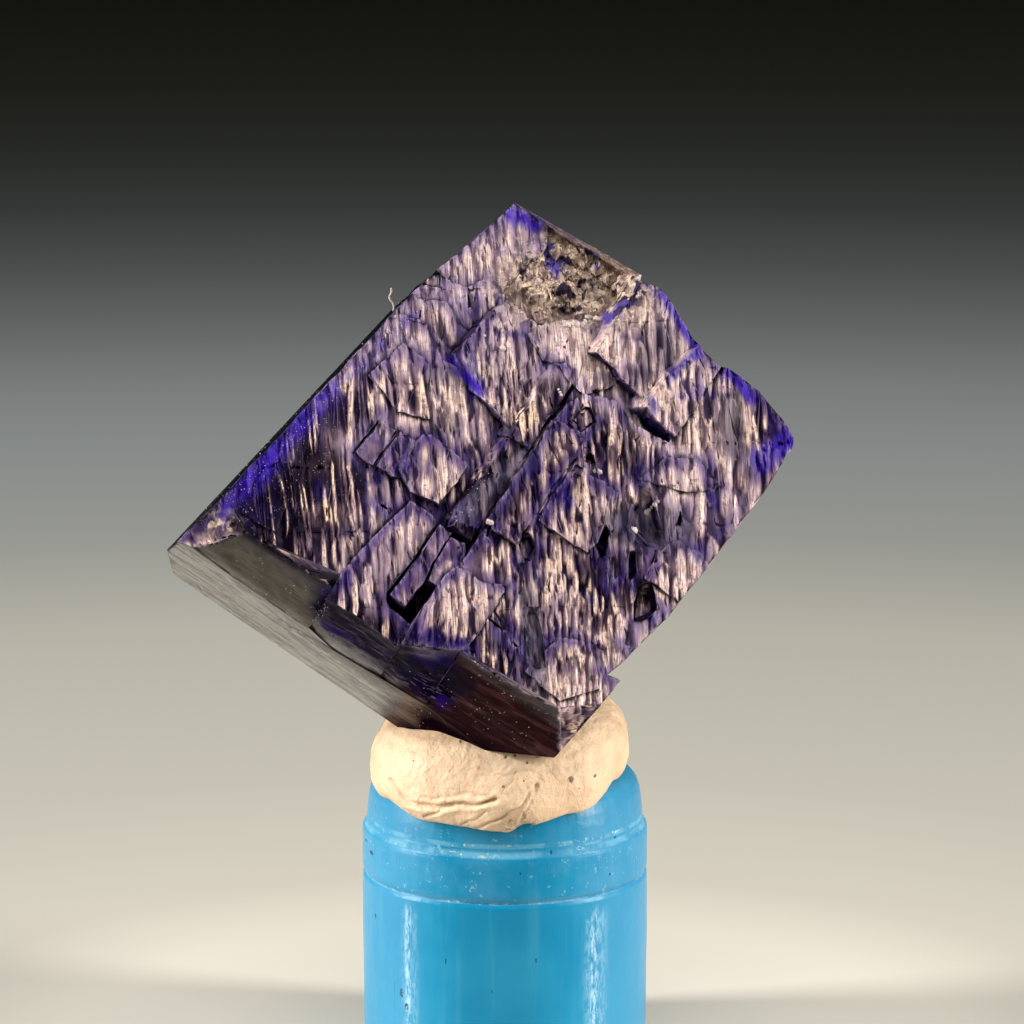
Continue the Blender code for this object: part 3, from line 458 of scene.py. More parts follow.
# zones of laths: outline, share of the ground covered, half widths, half lengths, rise for width,
# share of laths painted lit
LATH_ZONES = (
    ("all over", ((-1.2, -3), (13.2, -3), (13.2, 14.2), (-1.2, 14.2)), 1.5, (0.06, 0.13), (0.35, 0.95),
     0.85, 0.66),
    ("dark corner", ((-0.6, 0.6), (0.1, 5.2), (0.9, 6.2), (2.3, 5.2), (3.1, 4.0), (3.35, 0.6)), 0.15,
     (0.02, 0.04), (0.4, 1.2), 0.6, 0.50),
    ("left rim", ((0.1, 5.2), (1.3, 10.2), (2.0, 9.4), (0.9, 6.2)), 0.8, (0.03, 0.08), (0.3, 0.8), 0.6,
     0.40),
    ("broad ribs", ((0.9, 6.2), (1.9, 9.2), (2.5, 9.3), (4.1, 7.4), (3.6, 6.1), (2.3, 5.2)), 1.1,
     (0.05, 0.13), (0.5, 1.3), 0.7, 0.55),
    ("upper left", ((1.3, 10.2), (1.9, 12.9), (3.3, 12.9), (3.2, 10.3), (4.3, 8.6), (3.2, 8.4), (2.0, 9.4)),
     1.1, (0.06, 0.13), (0.3, 0.7), 0.55, 0.60),
    ("upper middle", ((3.2, 8.4), (3.2, 10.4), (4.4, 9.7), (5.6, 9.2), (5.4, 7.2), (4.3, 7.2)), 1.5,
     (0.04, 0.08), (0.2, 0.5), 0.8, 0.65),
    ("fine scales", ((7.4, 0.6), (11.4, 0.3), (11.4, 3.6), (9.6, 4.6), (7.6, 4.6)), 1.7, (0.035, 0.075),
     (0.18, 0.5), 0.9, 0.62),
    ("mid scales", ((6.2, 3.6), (7.6, 4.6), (9.6, 4.6), (9.2, 6.2), (7.6, 6.6), (6.0, 5.8)), 1.5,
     (0.05, 0.11), (0.2, 0.6), 0.9, 0.62),
    ("right bands", ((9.0, 7.4), (10.0, 9.6), (12.2, 10.4), (12.2, 6.6), (11.0, 6.4)), 1.2, (0.10, 0.19),
     (0.6, 1.3), 0.5, 0.60),
    ("saddle", ((4.4, 9.6), (4.6, 11.0), (6.3, 11.1), (6.5, 9.8), (5.6, 9.2)), 0.7, (0.08, 0.2), (0.3, 0.8),
     0.15, 0.9),
    ("slate facet", ((5.0, 4.2), (5.4, 6.3), (5.9, 6.6), (5.75, 4.3)), 0.0, (0.05, 0.09), (0.2, 0.5), 0.2,
     0.2),
    ("slate hollow", ((9.1, 6.3), (9.1, 7.7), (10.4, 7.8), (10.5, 6.4)), 0.4, (0.05, 0.09), (0.2, 0.5), 0.4,
     0.2),
    ("black hollow", ((9.7, 4.5), (9.7, 6.0), (11.0, 6.1), (11.0, 4.7)), 0.8, (0.03, 0.07), (0.15, 0.4),
     0.8, 0.30),
    ("blue patch", ((5.75, 0.5), (5.9, 1.25), (6.7, 1.35), (7.4, 1.2), (7.9, 0.5)), 0.12, (0.03, 0.05),
     (0.1, 0.25), 0.5, 0.2),
    ("dark hollow", ((7.3, 7.9), (7.2, 9.0), (8.9, 9.1), (9.1, 8.0)), 0.6, (0.03, 0.07), (0.2, 0.6), 0.8,
     0.30),
    ("crumbly corner", ((3.3, 10.4), (3.4, 13.2), (5.8, 13.2), (5.8, 10.9)), 0.0, (0.1, 0.2), (0.1, 0.2),
     0.0, 0.5))
# single long ribs, raised and painted fully lit: (x, y) to (x, y), half width
LONG_RIBS = (
    (0.78, 6.11, 2.25, 3.67, 0.09), (1.03, 7.71, 2.77, 5.69, 0.13), (1.61, 7.93, 3.34, 5.99, 0.11),
    (0.94, 6.58, 2.00, 5.17, 0.04), (1.24, 6.78, 2.23, 5.68, 0.04), (2.38, 8.18, 3.42, 7.20, 0.07),
    (0.23, 2.65, 1.70, 0.87, 0.04), (1.80, 1.63, 2.36, 0.88, 0.06), (1.85, 3.05, 2.45, 2.24, 0.06),
    (1.63, 3.78, 2.69, 2.32, 0.05), (2.44, 2.06, 3.23, 0.95, 0.07), (2.85, 5.31, 3.30, 4.73, 0.05),
    (3.25, 5.67, 3.63, 5.13, 0.05), (3.02, 3.84, 3.35, 3.19, 0.05), (3.97, 5.80, 4.61, 4.92, 0.07),
    (6.29, 7.89, 6.78, 7.25, 0.09), (6.61, 8.20, 7.19, 7.62, 0.09), (7.24, 9.25, 8.39, 7.37, 0.12),
    (8.50, 9.13, 9.15, 8.07, 0.06), (8.67, 9.16, 9.24, 8.21, 0.05), (9.27, 9.12, 9.91, 8.14, 0.13),
    (10.21, 8.07, 10.61, 7.28, 0.09), (9.82, 9.05, 10.57, 7.97, 0.07), (7.75, 7.38, 8.10, 6.47, 0.07),
    (7.97, 7.44, 8.40, 6.67, 0.07), (7.55, 7.16, 7.82, 6.55, 0.07), (7.23, 6.32, 7.60, 5.78, 0.07),
    (6.38, 5.92, 6.75, 5.39, 0.09), (8.39, 6.14, 8.87, 5.24, 0.07), (8.15, 5.45, 8.74, 4.63, 0.06),
    (7.89, 5.45, 8.45, 4.69, 0.06), (9.12, 6.46, 9.75, 5.31, 0.07), (9.84, 5.02, 10.34, 4.49, 0.07),
    (10.67, 6.28, 11.41, 5.21, 0.10), (10.82, 7.08, 11.60, 5.94, 0.13), (11.03, 7.22, 11.63, 6.40, 0.10),
    (11.42, 7.13, 11.75, 6.48, 0.07), (6.80, 4.37, 7.38, 3.98, 0.05), (10.02, 10.34, 10.97, 9.12, 0.09),
    (11.29, 9.16, 11.99, 8.22, 0.11), (1.69, 11.19, 1.93, 10.80, 0.08), (1.88, 11.40, 2.23, 10.85, 0.08),
    (2.16, 11.68, 2.81, 10.94, 0.06), (2.63, 12.24, 2.95, 11.79, 0.06), (1.96, 9.80, 2.21, 9.42, 0.09),
    (2.69, 10.54, 2.96, 10.17, 0.09), (1.79, 9.13, 2.69, 8.41, 0.14), (6.28, 12.62, 6.68, 11.78, 0.12),
    (10.13, 11.80, 11.67, 10.15, 0.09), (9.87, 10.43, 11.23, 9.22, 0.11), (10.62, 10.59, 11.48, 9.93, 0.05),
    (7.75, 8.95, 8.15, 8.15, 0.08), (6.18, 11.28, 6.53, 10.58, 0.05), (8.68, 12.05, 9.14, 11.19, 0.12),
    (9.15, 10.80, 9.38, 10.18, 0.11))
# strokes of saturated blue where light comes through thin rims: (x, y) to (x, y), half width, strength
BLUE_STROKES = (
    (8.84, 6.10, 9.17, 5.70, 0.14, 1.0), (9.74, 6.00, 10.38, 5.38, 0.18, 0.8),
    (9.40, 5.60, 9.71, 5.11, 0.11, 0.8), (8.71, 8.38, 9.19, 7.73, 0.14, 0.7),
    (7.12, 6.69, 7.61, 6.32, 0.17, 1.0), (6.10, 6.97, 6.39, 6.72, 0.17, 0.8),
    (7.00, 4.85, 7.60, 4.56, 0.14, 0.5), (6.80, 8.86, 7.36, 8.09, 0.11, 0.5),
    (11.19, 7.24, 11.44, 6.97, 0.07, 0.8), (9.26, 4.46, 9.56, 4.40, 0.10, 0.8),
    (7.85, 4.38, 8.17, 3.99, 0.09, 0.7), (11.05, 4.97, 11.36, 4.74, 0.09, 0.9),
    (10.71, 8.85, 11.02, 8.62, 0.16, 0.8), (1.93, 12.47, 2.66, 12.74, 0.22, 1.0),
    (3.14, 10.77, 3.20, 11.99, 0.08, 0.9), (3.20, 11.99, 3.42, 12.47, 0.08, 0.9),
    (5.78, 11.32, 6.07, 12.79, 0.10, 1.0), (6.42, 12.95, 7.34, 12.55, 0.13, 0.9),
    (7.34, 12.55, 8.25, 12.15, 0.13, 0.9), (8.15, 10.98, 8.41, 12.02, 0.12, 1.0),
    (8.09, 9.61, 9.12, 9.38, 0.05, 0.7), (7.89, 10.18, 8.20, 9.92, 0.13, 0.7),
    (2.80, 7.98, 3.90, 7.64, 0.15, 1.0), (3.22, 8.39, 3.75, 7.90, 0.13, 0.9),
    (2.86, 8.14, 3.05, 8.66, 0.06, 0.5), (3.50, 9.36, 4.16, 9.73, 0.09, 0.7),
    (4.79, 10.87, 5.08, 11.00, 0.08, 0.7), (3.48, 12.51, 4.17, 12.83, 0.08, 0.7),
    (5.43, 9.59, 5.74, 9.57, 0.08, 0.8), (6.44, 9.89, 6.73, 10.01, 0.13, 0.6),
    (0.78, 7.36, 1.05, 7.27, 0.13, 0.9), (0.59, 5.54, 0.40, 5.05, 0.13, 0.9),
    (0.27, 4.61, 0.09, 3.96, 0.16, 0.9), (0.29, 3.13, 0.35, 2.65, 0.22, 1.0),
    (0.11, 1.35, 0.12, 2.23, 0.22, 0.8), (0.69, 1.22, 1.07, 1.66, 0.22, 0.6),
    (1.73, 2.97, 2.01, 2.81, 0.11, 0.7), (2.00, 4.38, 2.20, 4.60, 0.07, 0.7),
    (2.80, 3.79, 2.96, 4.07, 0.11, 0.8), (3.88, 5.13, 4.04, 4.88, 0.06, 0.6),
    (0.05, 1.6, 0.75, 5.4, 0.16, 0.6), (0.8, 5.9, 1.3, 8.6, 0.10, 0.6), (9.2, 12.2, 10.3, 11.7, 0.14, 0.9),
    (11.4, 10.4, 11.9, 11.5, 0.28, 0.9), (5.9, 0.9, 7.3, 1.35, 0.26, 0.8),
    (6.2, 0.62, 7.2, 0.72, 0.28, 1.0), (0.15, 1.2, 0.3, 3.2, 0.26, 1.0), (8.6, 10.7, 9.4, 11.3, 0.15, 0.5),
    (2.4, 11.5, 3.0, 12.0, 0.15, 0.5), (3.4, 0.55, 3.8, 1.3, 0.16, 0.7), (11.5, 7.2, 11.7, 9.4, 0.12, 0.5),
    (11.3, 4.6, 11.8, 6.0, 0.14, 0.5))
# painted reflections: facets that mirror grey
GREY_REFLECTION_STROKES = (
    (8.0, 3.6, 9.8, 1.4, 0.22, 0.8), (5.4, 4.2, 5.9, 6.8, 0.28, 0.75), (9.2, 6.6, 10.4, 7.4, 0.55, 0.8),
    (9.9, 11.3, 10.7, 10.2, 0.30, 0.8), (7.2, 11.9, 7.9, 11.3, 0.30, 0.6),
    (10.9, 10.5, 11.4, 9.9, 0.12, 0.6), (3.5, 6.1, 3.9, 6.5, 0.25, 0.4), (2.7, 7.3, 3.0, 7.7, 0.2, 0.5),
    (7.6, 4.2, 8.3, 3.4, 0.2, 0.5), (6.1, 6.6, 6.4, 7.6, 0.18, 0.5))
# deep gaps, and painted shadows between the plates
BLACK_STROKES = (
    (5.03, 4.0, 5.10, 4.82, 0.06, 0.9), (5.10, 4.82, 5.25, 5.97, 0.06, 0.9),
    (5.25, 5.97, 5.70, 6.9, 0.05, 0.8), (5.70, 6.9, 5.78, 7.85, 0.07, 0.9),
    (5.78, 7.85, 6.06, 8.75, 0.08, 0.9), (6.06, 4.58, 5.84, 5.85, 0.10, 0.7),
    (5.9, 0.25, 7.6, 0.35, 0.20, 0.9), (0.5, 0.86, 3.5, 0.92, 0.20, 1.0), (3.8, 0.45, 6.0, 0.45, 0.36, 1.0),
    (7.3, 0.5, 7.9, 0.5, 0.35, 0.9), (3.9, 0.10, 6.4, 0.05, 0.30, 0.9), (10.0, 4.8, 11.2, 5.8, 0.30, 0.5),
    (0.95, 1.5, 1.4, 3.4, 0.50, 0.9), (1.5, 3.5, 1.7, 3.8, 0.3, 0.5), (2.5, 3.2, 2.6, 3.7, 0.3, 0.5),
    (7.5, 8.3, 8.2, 8.3, 0.30, 0.6), (5.35, 7.2, 5.6, 8.8, 0.35, 0.8), (2.3, 6.4, 2.7, 6.8, 0.3, 0.4),
    (9.4, 4.3, 9.7, 4.8, 0.35, 0.5), (9.3, 2.3, 10.4, 2.7, 0.3, 0.35), (0.5, 1.3, 1.8, 1.5, 0.35, 0.9),
    (7.4, 10.5, 9.6, 10.5, 0.35, 0.35), (7.4, 11.3, 7.7, 11.7, 0.3, 0.5), (7.4, 2.3, 7.6, 2.7, 0.3, 0.5),
    (9.4, 5.3, 9.6, 5.7, 0.3, 0.6), (8.4, 10.4, 10.6, 10.4, 0.35, 0.35), (3.3, 8.5, 4.6, 8.5, 0.35, 0.3),
    (7.95, 4.75, 8.5, 3.9, 0.14, 0.7), (9.0, 5.95, 9.35, 6.6, 0.10, 0.8), (6.3, 5.0, 6.45, 6.0, 0.12, 0.6),
    (8.3, 8.4, 8.55, 9.4, 0.10, 0.6), (7.3, 8.9, 7.6, 8.0, 0.22, 0.7), (8.0, 8.9, 8.7, 8.2, 0.16, 0.6),
    (8.95, 6.2, 9.2, 5.6, 0.12, 0.9), (9.8, 6.0, 10.1, 5.7, 0.15, 0.8), (7.0, 4.9, 7.5, 4.7, 0.15, 0.6),
    (6.5, 8.75, 6.9, 8.95, 0.12, 0.9), (7.35, 7.75, 7.55, 8.0, 0.10, 0.9))
TERRACE_PLATE = 7         # the plate whose laths the terraces carry on
# ground raised to a terrace in front of the long edge: outline, height, width of its slope in mm
TERRACES = (
    (((4.98, 4.1), (5.10, 4.82), (5.25, 5.97), (5.70, 6.9), (5.78, 7.85), (6.0, 8.6), (6.45, 8.6),
      (6.45, 4.3)), 0.58, 0.45),
    (((7.02, 5.2), (7.02, 7.9), (7.36, 7.9), (7.36, 5.2)), 0.64, 0.05),
    (((6.40, 8.1), (6.40, 8.85), (7.0, 8.85), (7.0, 8.1)), 0.46, 0.12))
# the recess under the middle plates: its box in mm, the depths and heights that its wall takes at its
# left and right ends, and those of the slope behind it
RECESS_LOW, RECESS_HIGH = (5.90, -9, -2.7), (7.42, 2.1, 0.85)
RECESS_LEFT, RECESS_WIDTH = 5.93, 1.46
RECESS_WALL_LEFT = ((-2.64, -1.33, 0.53), (-0.28, -0.04, 0.33))
RECESS_WALL_RIGHT = ((-2.64, -1.33, -0.7, 0.74), (-0.31, -0.19, 0.20, 1.10))
RECESS_BACK = ((-2.64, 0.74), (-0.27, 1.24))
# parts where the grooves are shallow and the ground itself is pale violet and hazy
SOFT_STROKES = (
    (0.9, 7.4, 2.2, 12.3, 1.1, 1.0), (3.45, 1.3, 3.6, 4.8, 0.45, 0.5), (1.6, 4.4, 2.6, 5.4, 0.4, 0.7),
    (2.6, 8.6, 6.4, 10.6, 1.3, 1.0), (6.6, 12.0, 9.4, 10.6, 0.9, 0.9), (9.7, 8.2, 11.6, 8.9, 0.9, 0.9),
    (3.4, 7.4, 4.4, 6.6, 0.8, 0.7), (7.6, 9.6, 10.6, 9.6, 0.8, 0.8), (1.2, 6.8, 2.6, 6.0, 0.7, 0.5),
    (6.3, 2.2, 7.4, 3.0, 0.6, 0.7), (10.0, 1.8, 10.9, 2.6, 0.7, 0.8), (11.2, 3.5, 11.6, 7.2, 0.5, 0.8),
    (4.4, 1.0, 4.5, 3.4, 0.5, 0.6), (4.2, 4.8, 4.4, 6.2, 0.5, 0.6), (8.3, 5.8, 8.5, 6.8, 0.6, 0.4),
    (8.0, 4.2, 9.3, 3.6, 0.6, 0.5))
# edges and hollows that glow with clear blue
GLOW_STROKES = (
    (0.0, 2.2, 0.5, 5.4, 0.35, 1.0), (1.9, 12.3, 2.6, 12.8, 0.35, 1.0), (6.4, 12.9, 8.3, 12.1, 0.3, 0.9),
    (9.2, 12.2, 10.4, 11.7, 0.3, 0.9), (11.4, 10.4, 11.9, 11.5, 0.4, 0.9), (2.8, 8.0, 3.9, 7.6, 0.25, 1.0),
    (0.0, 1.2, 0.3, 3.4, 0.30, 0.5), (2.2, 11.2, 3.2, 12.3, 0.5, 0.6), (8.4, 10.4, 9.6, 11.6, 0.5, 0.6),
    (5.7, 11.3, 6.1, 12.8, 0.2, 0.9), (6.9, 9.2, 8.2, 9.5, 0.25, 0.6), (8.0, 11.0, 8.4, 12.0, 0.2, 0.7),
    (0.8, 5.9, 1.3, 8.6, 0.2, 0.6), (3.2, 10.8, 3.4, 12.4, 0.15, 0.7), (0.6, 1.2, 1.1, 1.7, 0.2, 0.4))
# tones of the sides and the smooth underside: pale bands that are painted grey reflections, blue splinters
# with painted glints, an olive facet that is a painted reflection, and near the putty a painted brown
# reflection of it, then painted shade to black
PALE_SIDES = (
    (-0.6, -0.85, 5.0, -1.05, 0.42, 1.0), (-0.3, -1.35, 6.2, -1.75, 0.40, 1.0),
    (4.2, -0.80, 6.3, -0.70, 0.24, 0.9), (5.4, -1.0, 6.2, -1.2, 0.3, 1.0))
SPLINTER_SIDES = ((3.7, 0.25, 7.4, 0.05, 0.45, 1.0), (3.9, -0.12, 6.4, -0.10, 0.18, 1.0))
OLIVE_SIDES = ((-0.1, 0.0, 3.3, 0.0, 0.45, 1.0),)
BROWN_SIDES = ((7.2, -0.5, 11.5, -0.6, 0.9, 1.0), (7.4, 0.6, 11.0, 0.5, 0.6, 1.0),
               (7.0, -1.75, 8.6, -1.6, 0.55, 1.0))
UNDER_SIDES = ((7.8, -1.1, 11.5, -1.0, 0.45, 1.0), (7.5, -1.7, 8.8, -1.5, 0.4, 1.0))
# painted highlights: cream laths where they catch the lamps
LATH_HIGHLIGHT_STROKES = (
    (0.7, 7.6, 1.9, 11.4, 0.8, 0.6), (6.4, 3.2, 6.6, 3.9, 0.3, 0.8), (6.4, 11.9, 6.9, 12.6, 0.4, 0.6),
    (6.4, 9.2, 6.8, 9.6, 0.35, 0.6), (3.3, 6.3, 3.7, 6.8, 0.3, 0.6), (2.3, 5.3, 2.7, 5.8, 0.3, 0.6),
    (0.4, 5.0, 0.8, 6.0, 0.3, 0.8), (1.3, 3.3, 1.8, 3.8, 0.3, 0.5), (2.2, 2.3, 2.8, 2.8, 0.3, 0.6),
    (5.3, 3.3, 5.6, 3.9, 0.3, 0.7), (6.1, 10.6, 6.9, 11.0, 0.25, 0.9), (6.4, 7.3, 6.6, 7.8, 0.3, 0.8),
    (7.3, 7.2, 7.6, 7.7, 0.25, 0.9), (8.2, 9.3, 9.6, 9.6, 0.40, 1.0), (10.4, 5.2, 10.6, 7.8, 0.30, 0.5),
    (10.3, 3.2, 10.6, 4.8, 0.4, 0.5), (2.4, 10.2, 2.6, 10.8, 0.3, 0.6), (1.4, 4.3, 2.7, 4.6, 0.3, 0.5),
    (4.7, 10.3, 6.1, 10.2, 0.45, 1.5), (8.7, 6.7, 8.9, 7.4, 0.22, 0.9), (10.7, 6.6, 11.7, 6.9, 0.28, 0.8),
    (6.1, 1.8, 6.8, 3.0, 0.35, 0.7), (5.65, 2.5, 5.8, 3.1, 0.12, 0.9), (9.9, 1.6, 10.8, 2.3, 0.35, 0.7))
# where the surface is rubble, where it is rough at the left corner, where the plates show no rims,
# and where painted glints of fine grit lie in the grooves
CRUMBLY_STROKES = ((3.7, 11.2, 5.5, 12.3, 1.0, 1.0), (3.6, 12.6, 4.6, 12.7, 0.5, 1.0))
CORNER_STROKES = ((-0.35, 0.25, 0.35, 0.75, 0.30, 1.0), (-0.45, 0.1, -0.1, 0.5, 0.2, 1.0))
QUIET_STROKES = ((0.5, 1.7, 0.9, 4.6, 0.7, 1.0),)
GRIT_GLINT_STROKES = (
    (0.7, 1.4, 1.2, 5.0, 0.75, 1.0), (2.2, 2.4, 2.8, 4.2, 0.5, 0.6), (0.6, 5.4, 1.3, 7.5, 0.4, 0.7),
    (6.0, 0.8, 7.4, 0.9, 0.3, 0.6), (5.3, 4.2, 5.5, 6.0, 0.2, 0.8))


def in_crystal(points):
    """World metres to the crystal's own millimetres."""
    return (np.asarray(points) * 1000 - CRYSTAL_AT) @ CRYSTAL_AXES.T


def in_world(points):
    return (np.asarray(points) @ CRYSTAL_AXES + CRYSTAL_AT) / 1000


def inside(points, outline):
    """Which 2-D points lie inside an outline."""
    odd = np.zeros(len(points), bool)
    for (x0, y0), (x1, y1) in zip(outline, outline[1:] + outline[:1]):
        if y0 != y1:
            crosses = (y0 > points[:, 1]) != (y1 > points[:, 1])
            odd ^= crosses & (points[:, 0] < (x1 - x0) * (points[:, 1] - y0) / (y1 - y0) + x0)
    return odd


def lath_map(seed):
    """Height and paleness of one layer of laths, laid one over another on a fine grid over the face; the
    paleness is painted light, brightest along each crest.
    """
    rng = np.random.default_rng(seed)
    count = ((MAP_HIGH - MAP_LOW) / MAP_STEP).astype(int) + 1
    xs, ys = MAP_LOW[0] + MAP_STEP * np.arange(count[0]), MAP_LOW[1] + MAP_STEP * np.arange(count[1])
    height, pale = np.zeros(count), np.zeros(count)

    def lay(x, y, turn, long, wide, rise, slope, ridge, tone, base):
        reach = abs(np.array((math.cos(turn), math.sin(turn)))) * long + wide
        a = np.maximum(((np.array((x, y)) - reach - MAP_LOW) / MAP_STEP).astype(int), 0)
        b = np.minimum(((np.array((x, y)) + reach - MAP_LOW) / MAP_STEP).astype(int) + 2, count)
        if (b - a < 2).any():
            return
        dx, dy = xs[a[0]:b[0], None] - x, ys[None, a[1]:b[1]] - y
        u = (dx * math.cos(turn) + dy * math.sin(turn)) / long
        v = (dy * math.cos(turn) - dx * math.sin(turn)) / wide / np.maximum(1 - 0.5 * abs(u) ** 3, 0.2)
        v = v + ridge * (1 - v * v)
        profile = np.sqrt(np.clip(1 - v * v, 0, 1) * np.clip(1 - u ** 8, 0, 1))
        top = base + rise * wide * profile + slope * u * np.minimum(profile * 3, 1)
        window = slice(a[0], b[0]), slice(a[1], b[1])
        over = (profile > 0.1) & (top > height[window])
        height[window][over] = top[over]
        pale[window][over] = (tone * (0.06 + 0.94 * profile ** 2))[over]

    for number, (_, outline, cover, widths, lengths, rise, share) in enumerate(LATH_ZONES):
        low, high = np.min(outline, axis=0), np.max(outline, axis=0)
        size = np.mean(widths) * np.mean(lengths) * 4
        spots = rng.uniform(low, high, (int(np.prod(high - low) * cover / size), 2))
        kept = inside(spots, outline)
        for _, later, *_ in LATH_ZONES[number + 1:]:
            kept &= ~inside(spots, later)
        for x, y in spots[kept]:
            run = LINES_RUN + math.radians(4 - 0.75 * x) + rng.normal(0, 0.022)
            wide, long = rng.uniform(*widths), rng.uniform(*lengths)
            light = rng.random() < share
            tone = rng.uniform(0.62, 1.0) if light else rng.uniform(0.10, 0.62)
            lay(x, y, run, long, wide, rise * rng.uniform(0.6, 1.2), rng.normal(0, 0.025),
                rng.uniform(-0.35, 0.35), tone, rng.uniform(0, 0.035) + (0.012 if light else 0))
    for x0, y0, x1, y1, wide in LONG_RIBS:
        run, long = math.atan2(y1 - y0, x1 - x0), math.hypot(x1 - x0, y1 - y0) / 2
        lay((x0 + x1) / 2, (y0 + y1) / 2, run, long, wide, 0.55, 0.0, 0.1, 1.0, 0.045)
    return height, pale


def read_map(field, where):
    """A map's value at places on the face, blended between its grid points."""
    at = np.clip((where - MAP_LOW) / MAP_STEP, 0, np.array(field.shape) - 1.001)
    cell = at.astype(int)
    (fx, fy), (i, j) = (at - cell).T, cell.T
    return (field[i, j] * (1 - fx) * (1 - fy) + field[i + 1, j] * fx * (1 - fy)
            + field[i, j + 1] * (1 - fx) * fy + field[i + 1, j + 1] * fx * fy)


def strokes(where, lines):
    """0 to 1 near brushed lines on the face, soft at their edges."""
    value = np.zeros(len(where))
    for x0, y0, x1, y1, half, strength in lines:
        away = from_line(where, ((x0, y0), (x1, y1))) / half
        value = np.maximum(value, strength * np.clip(1.6 - away, 0, 1))
    return value


def speckle(points, scale, offset=0.0):
    return np.array([noise.noise(Vector(p) * scale + Vector((offset, offset, offset))) for p in points])


def crystal_facets():
    """The crystal's corners in its own millimetres, and each facet as a loop of corners with its normal."""
    bm = bmesh.new()
    bm.from_mesh(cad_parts["azurite_crystal"].data)
    for vert, place in zip(bm.verts, in_crystal([v.co[:] for v in bm.verts])):
        vert.co = place
    bmesh.ops.remove_doubles(bm, verts=bm.verts, dist=0.001)
    bmesh.ops.dissolve_limit(bm, angle_limit=math.radians(0.5), verts=bm.verts, edges=bm.edges,
                             use_dissolve_boundaries=False)
    bmesh.ops.recalc_face_normals(bm, faces=bm.faces)
    bm.verts.index_update()
    corners = [np.array(v.co) for v in bm.verts]
    loops = [[v.index for v in f.verts] for f in bm.faces]
    normals = [np.array(f.normal) for f in bm.faces]
    bm.free()
    return corners, loops, normals


def facet_grain(normal):
    """Spacing and the directions across and along the growth lines of a facet."""
    if normal[2] > STEEP:
        step, run = LATH_STEP, np.array((math.cos(LINES_RUN), math.sin(LINES_RUN), 0))
    else:
        step = SIDE_STEP if normal @ TO_EYE > -0.12 else BACK_STEP
        run = np.cross(normal, (0, 0, 1)) if abs(normal[2]) < 0.9 else np.array((1.0, 0, 0))
    along = run - normal * (run @ normal)
    along /= np.linalg.norm(along)
    return step, np.cross(along, normal), along


def is_side(points, loop, normal):
    """True for the flat outer sides, false for the front and for the small walls between its plates."""
    depths = [points[i][2] for i in loop]
    broad = facet_area(points, loop) > BIG_SIDE or min(depths) < BACK_DEPTH
    return (normal[2] < STEEP and broad) or np.mean(depths) < BACK_DEPTH


def cut_edges(points, edges, grains):
    """Adds points along each edge, as close as the facets on both its sides need, and lists them."""
    cuts = {}
    for (a, b), sides in edges.items():
        run = points[b] - points[a]
        pieces = 1
        for number in sides:
            step, across, along = grains[number]
            pieces = max(pieces, math.ceil(math.hypot(run @ across / step[0], run @ along / step[1])))
        cuts[a, b] = list(range(len(points), len(points) + pieces - 1))
        points += [points[a] + run * k / pieces for k in range(1, pieces)]
    return cuts


def inner_points(rim, rng):
    """Staggered points within a facet's rim, a little shaken; all counted in the facet's own steps."""
    low, high = rim.min(axis=0), rim.max(axis=0)
    columns, rows = np.arange(low[0], high[0]), np.arange(low[1], high[1], ROW_SPACING)
    if len(columns) < 2 or len(rows) < 2:
        return np.zeros((0, 2))
    u, v = np.meshgrid(columns, rows)
    u = u + 0.5 * (np.arange(len(rows)) % 2)[:, None]
    inner = np.column_stack((u.ravel(), v.ravel())) + rng.uniform(-SHAKE, SHAKE, (u.size, 2))
    outline = [tuple(p) for p in rim]
    inner = inner[inside(inner, outline)]
    return inner[from_line(inner, outline + outline[:1]) > 0.5] if len(inner) else inner


def fine_crystal():
    """The same facets, each filled with small triangles drawn out along its growth lines."""
    rng = np.random.default_rng(CRYSTAL_SEED)
    points, loops, normals = crystal_facets()
    grains = [facet_grain(n) for n in normals]
    outer = [is_side(points, loop, normal) for loop, normal in zip(loops, normals)]
    edges = {}
    for number, loop in enumerate(loops):
        for a, b in zip(loop, loop[1:] + loop[:1]):
            edges.setdefault((min(a, b), max(a, b)), []).append(number)
    cuts = cut_edges(points, edges, grains)
    group = lath_groups(loops, normals, edges, outer)
    steps = plate_steps(points, loops, normals, edges, group)
    tris, sides, home = [], [], {}
    for number, loop in enumerate(loops):
        step, across, along = grains[number]
        level = normals[number] * (points[loop[0]] @ normals[number])
        ring = []
        for a, b in zip(loop, loop[1:] + loop[:1]):
            cut = cuts[min(a, b), max(a, b)]
            ring += [a] + (cut if a < b else cut[::-1])
        rim = np.array([points[i] for i in ring])
        rim = np.column_stack((rim @ across / step[0], rim @ along / step[1]))
        names = list(ring)
        placed = [Vector(p) for p in rim]
        for u, v in inner_points(rim, rng):
            placed.append(Vector((u, v)))
            names.append(len(points))
            points.append(across * u * step[0] + along * v * step[1] + level)
        border = [list(range(len(ring)))]
        out, _, faces, origin, *_ = geometry.delaunay_2d_cdt(placed, [], border, 1, 1e-6, True)
        for k, found in enumerate(origin):
            if not found:
                u, v = out[k]
                origin[k] = [len(names)]
                names.append(len(points))
                points.append(across * u * step[0] + along * v * step[1] + level)
        for face in faces:
            trio = [names[origin[k][0]] for k in face]
            tris.append(trio)
            sides.append(number)
            for i in trio:
                held = home.get(i)
                if held is None or (group[number], normals[number][2]) > (group[held], normals[held][2]):
                    home[i] = number
    return np.array(points), tris, np.array(sides), home, normals, grains, group, steps, outer


def facet_area(points, loop):
    first = points[loop[0]]
    return np.linalg.norm(sum(np.cross(points[a] - first, points[b] - first)
                              for a, b in zip(loop[1:], loop[2:]))) / 2


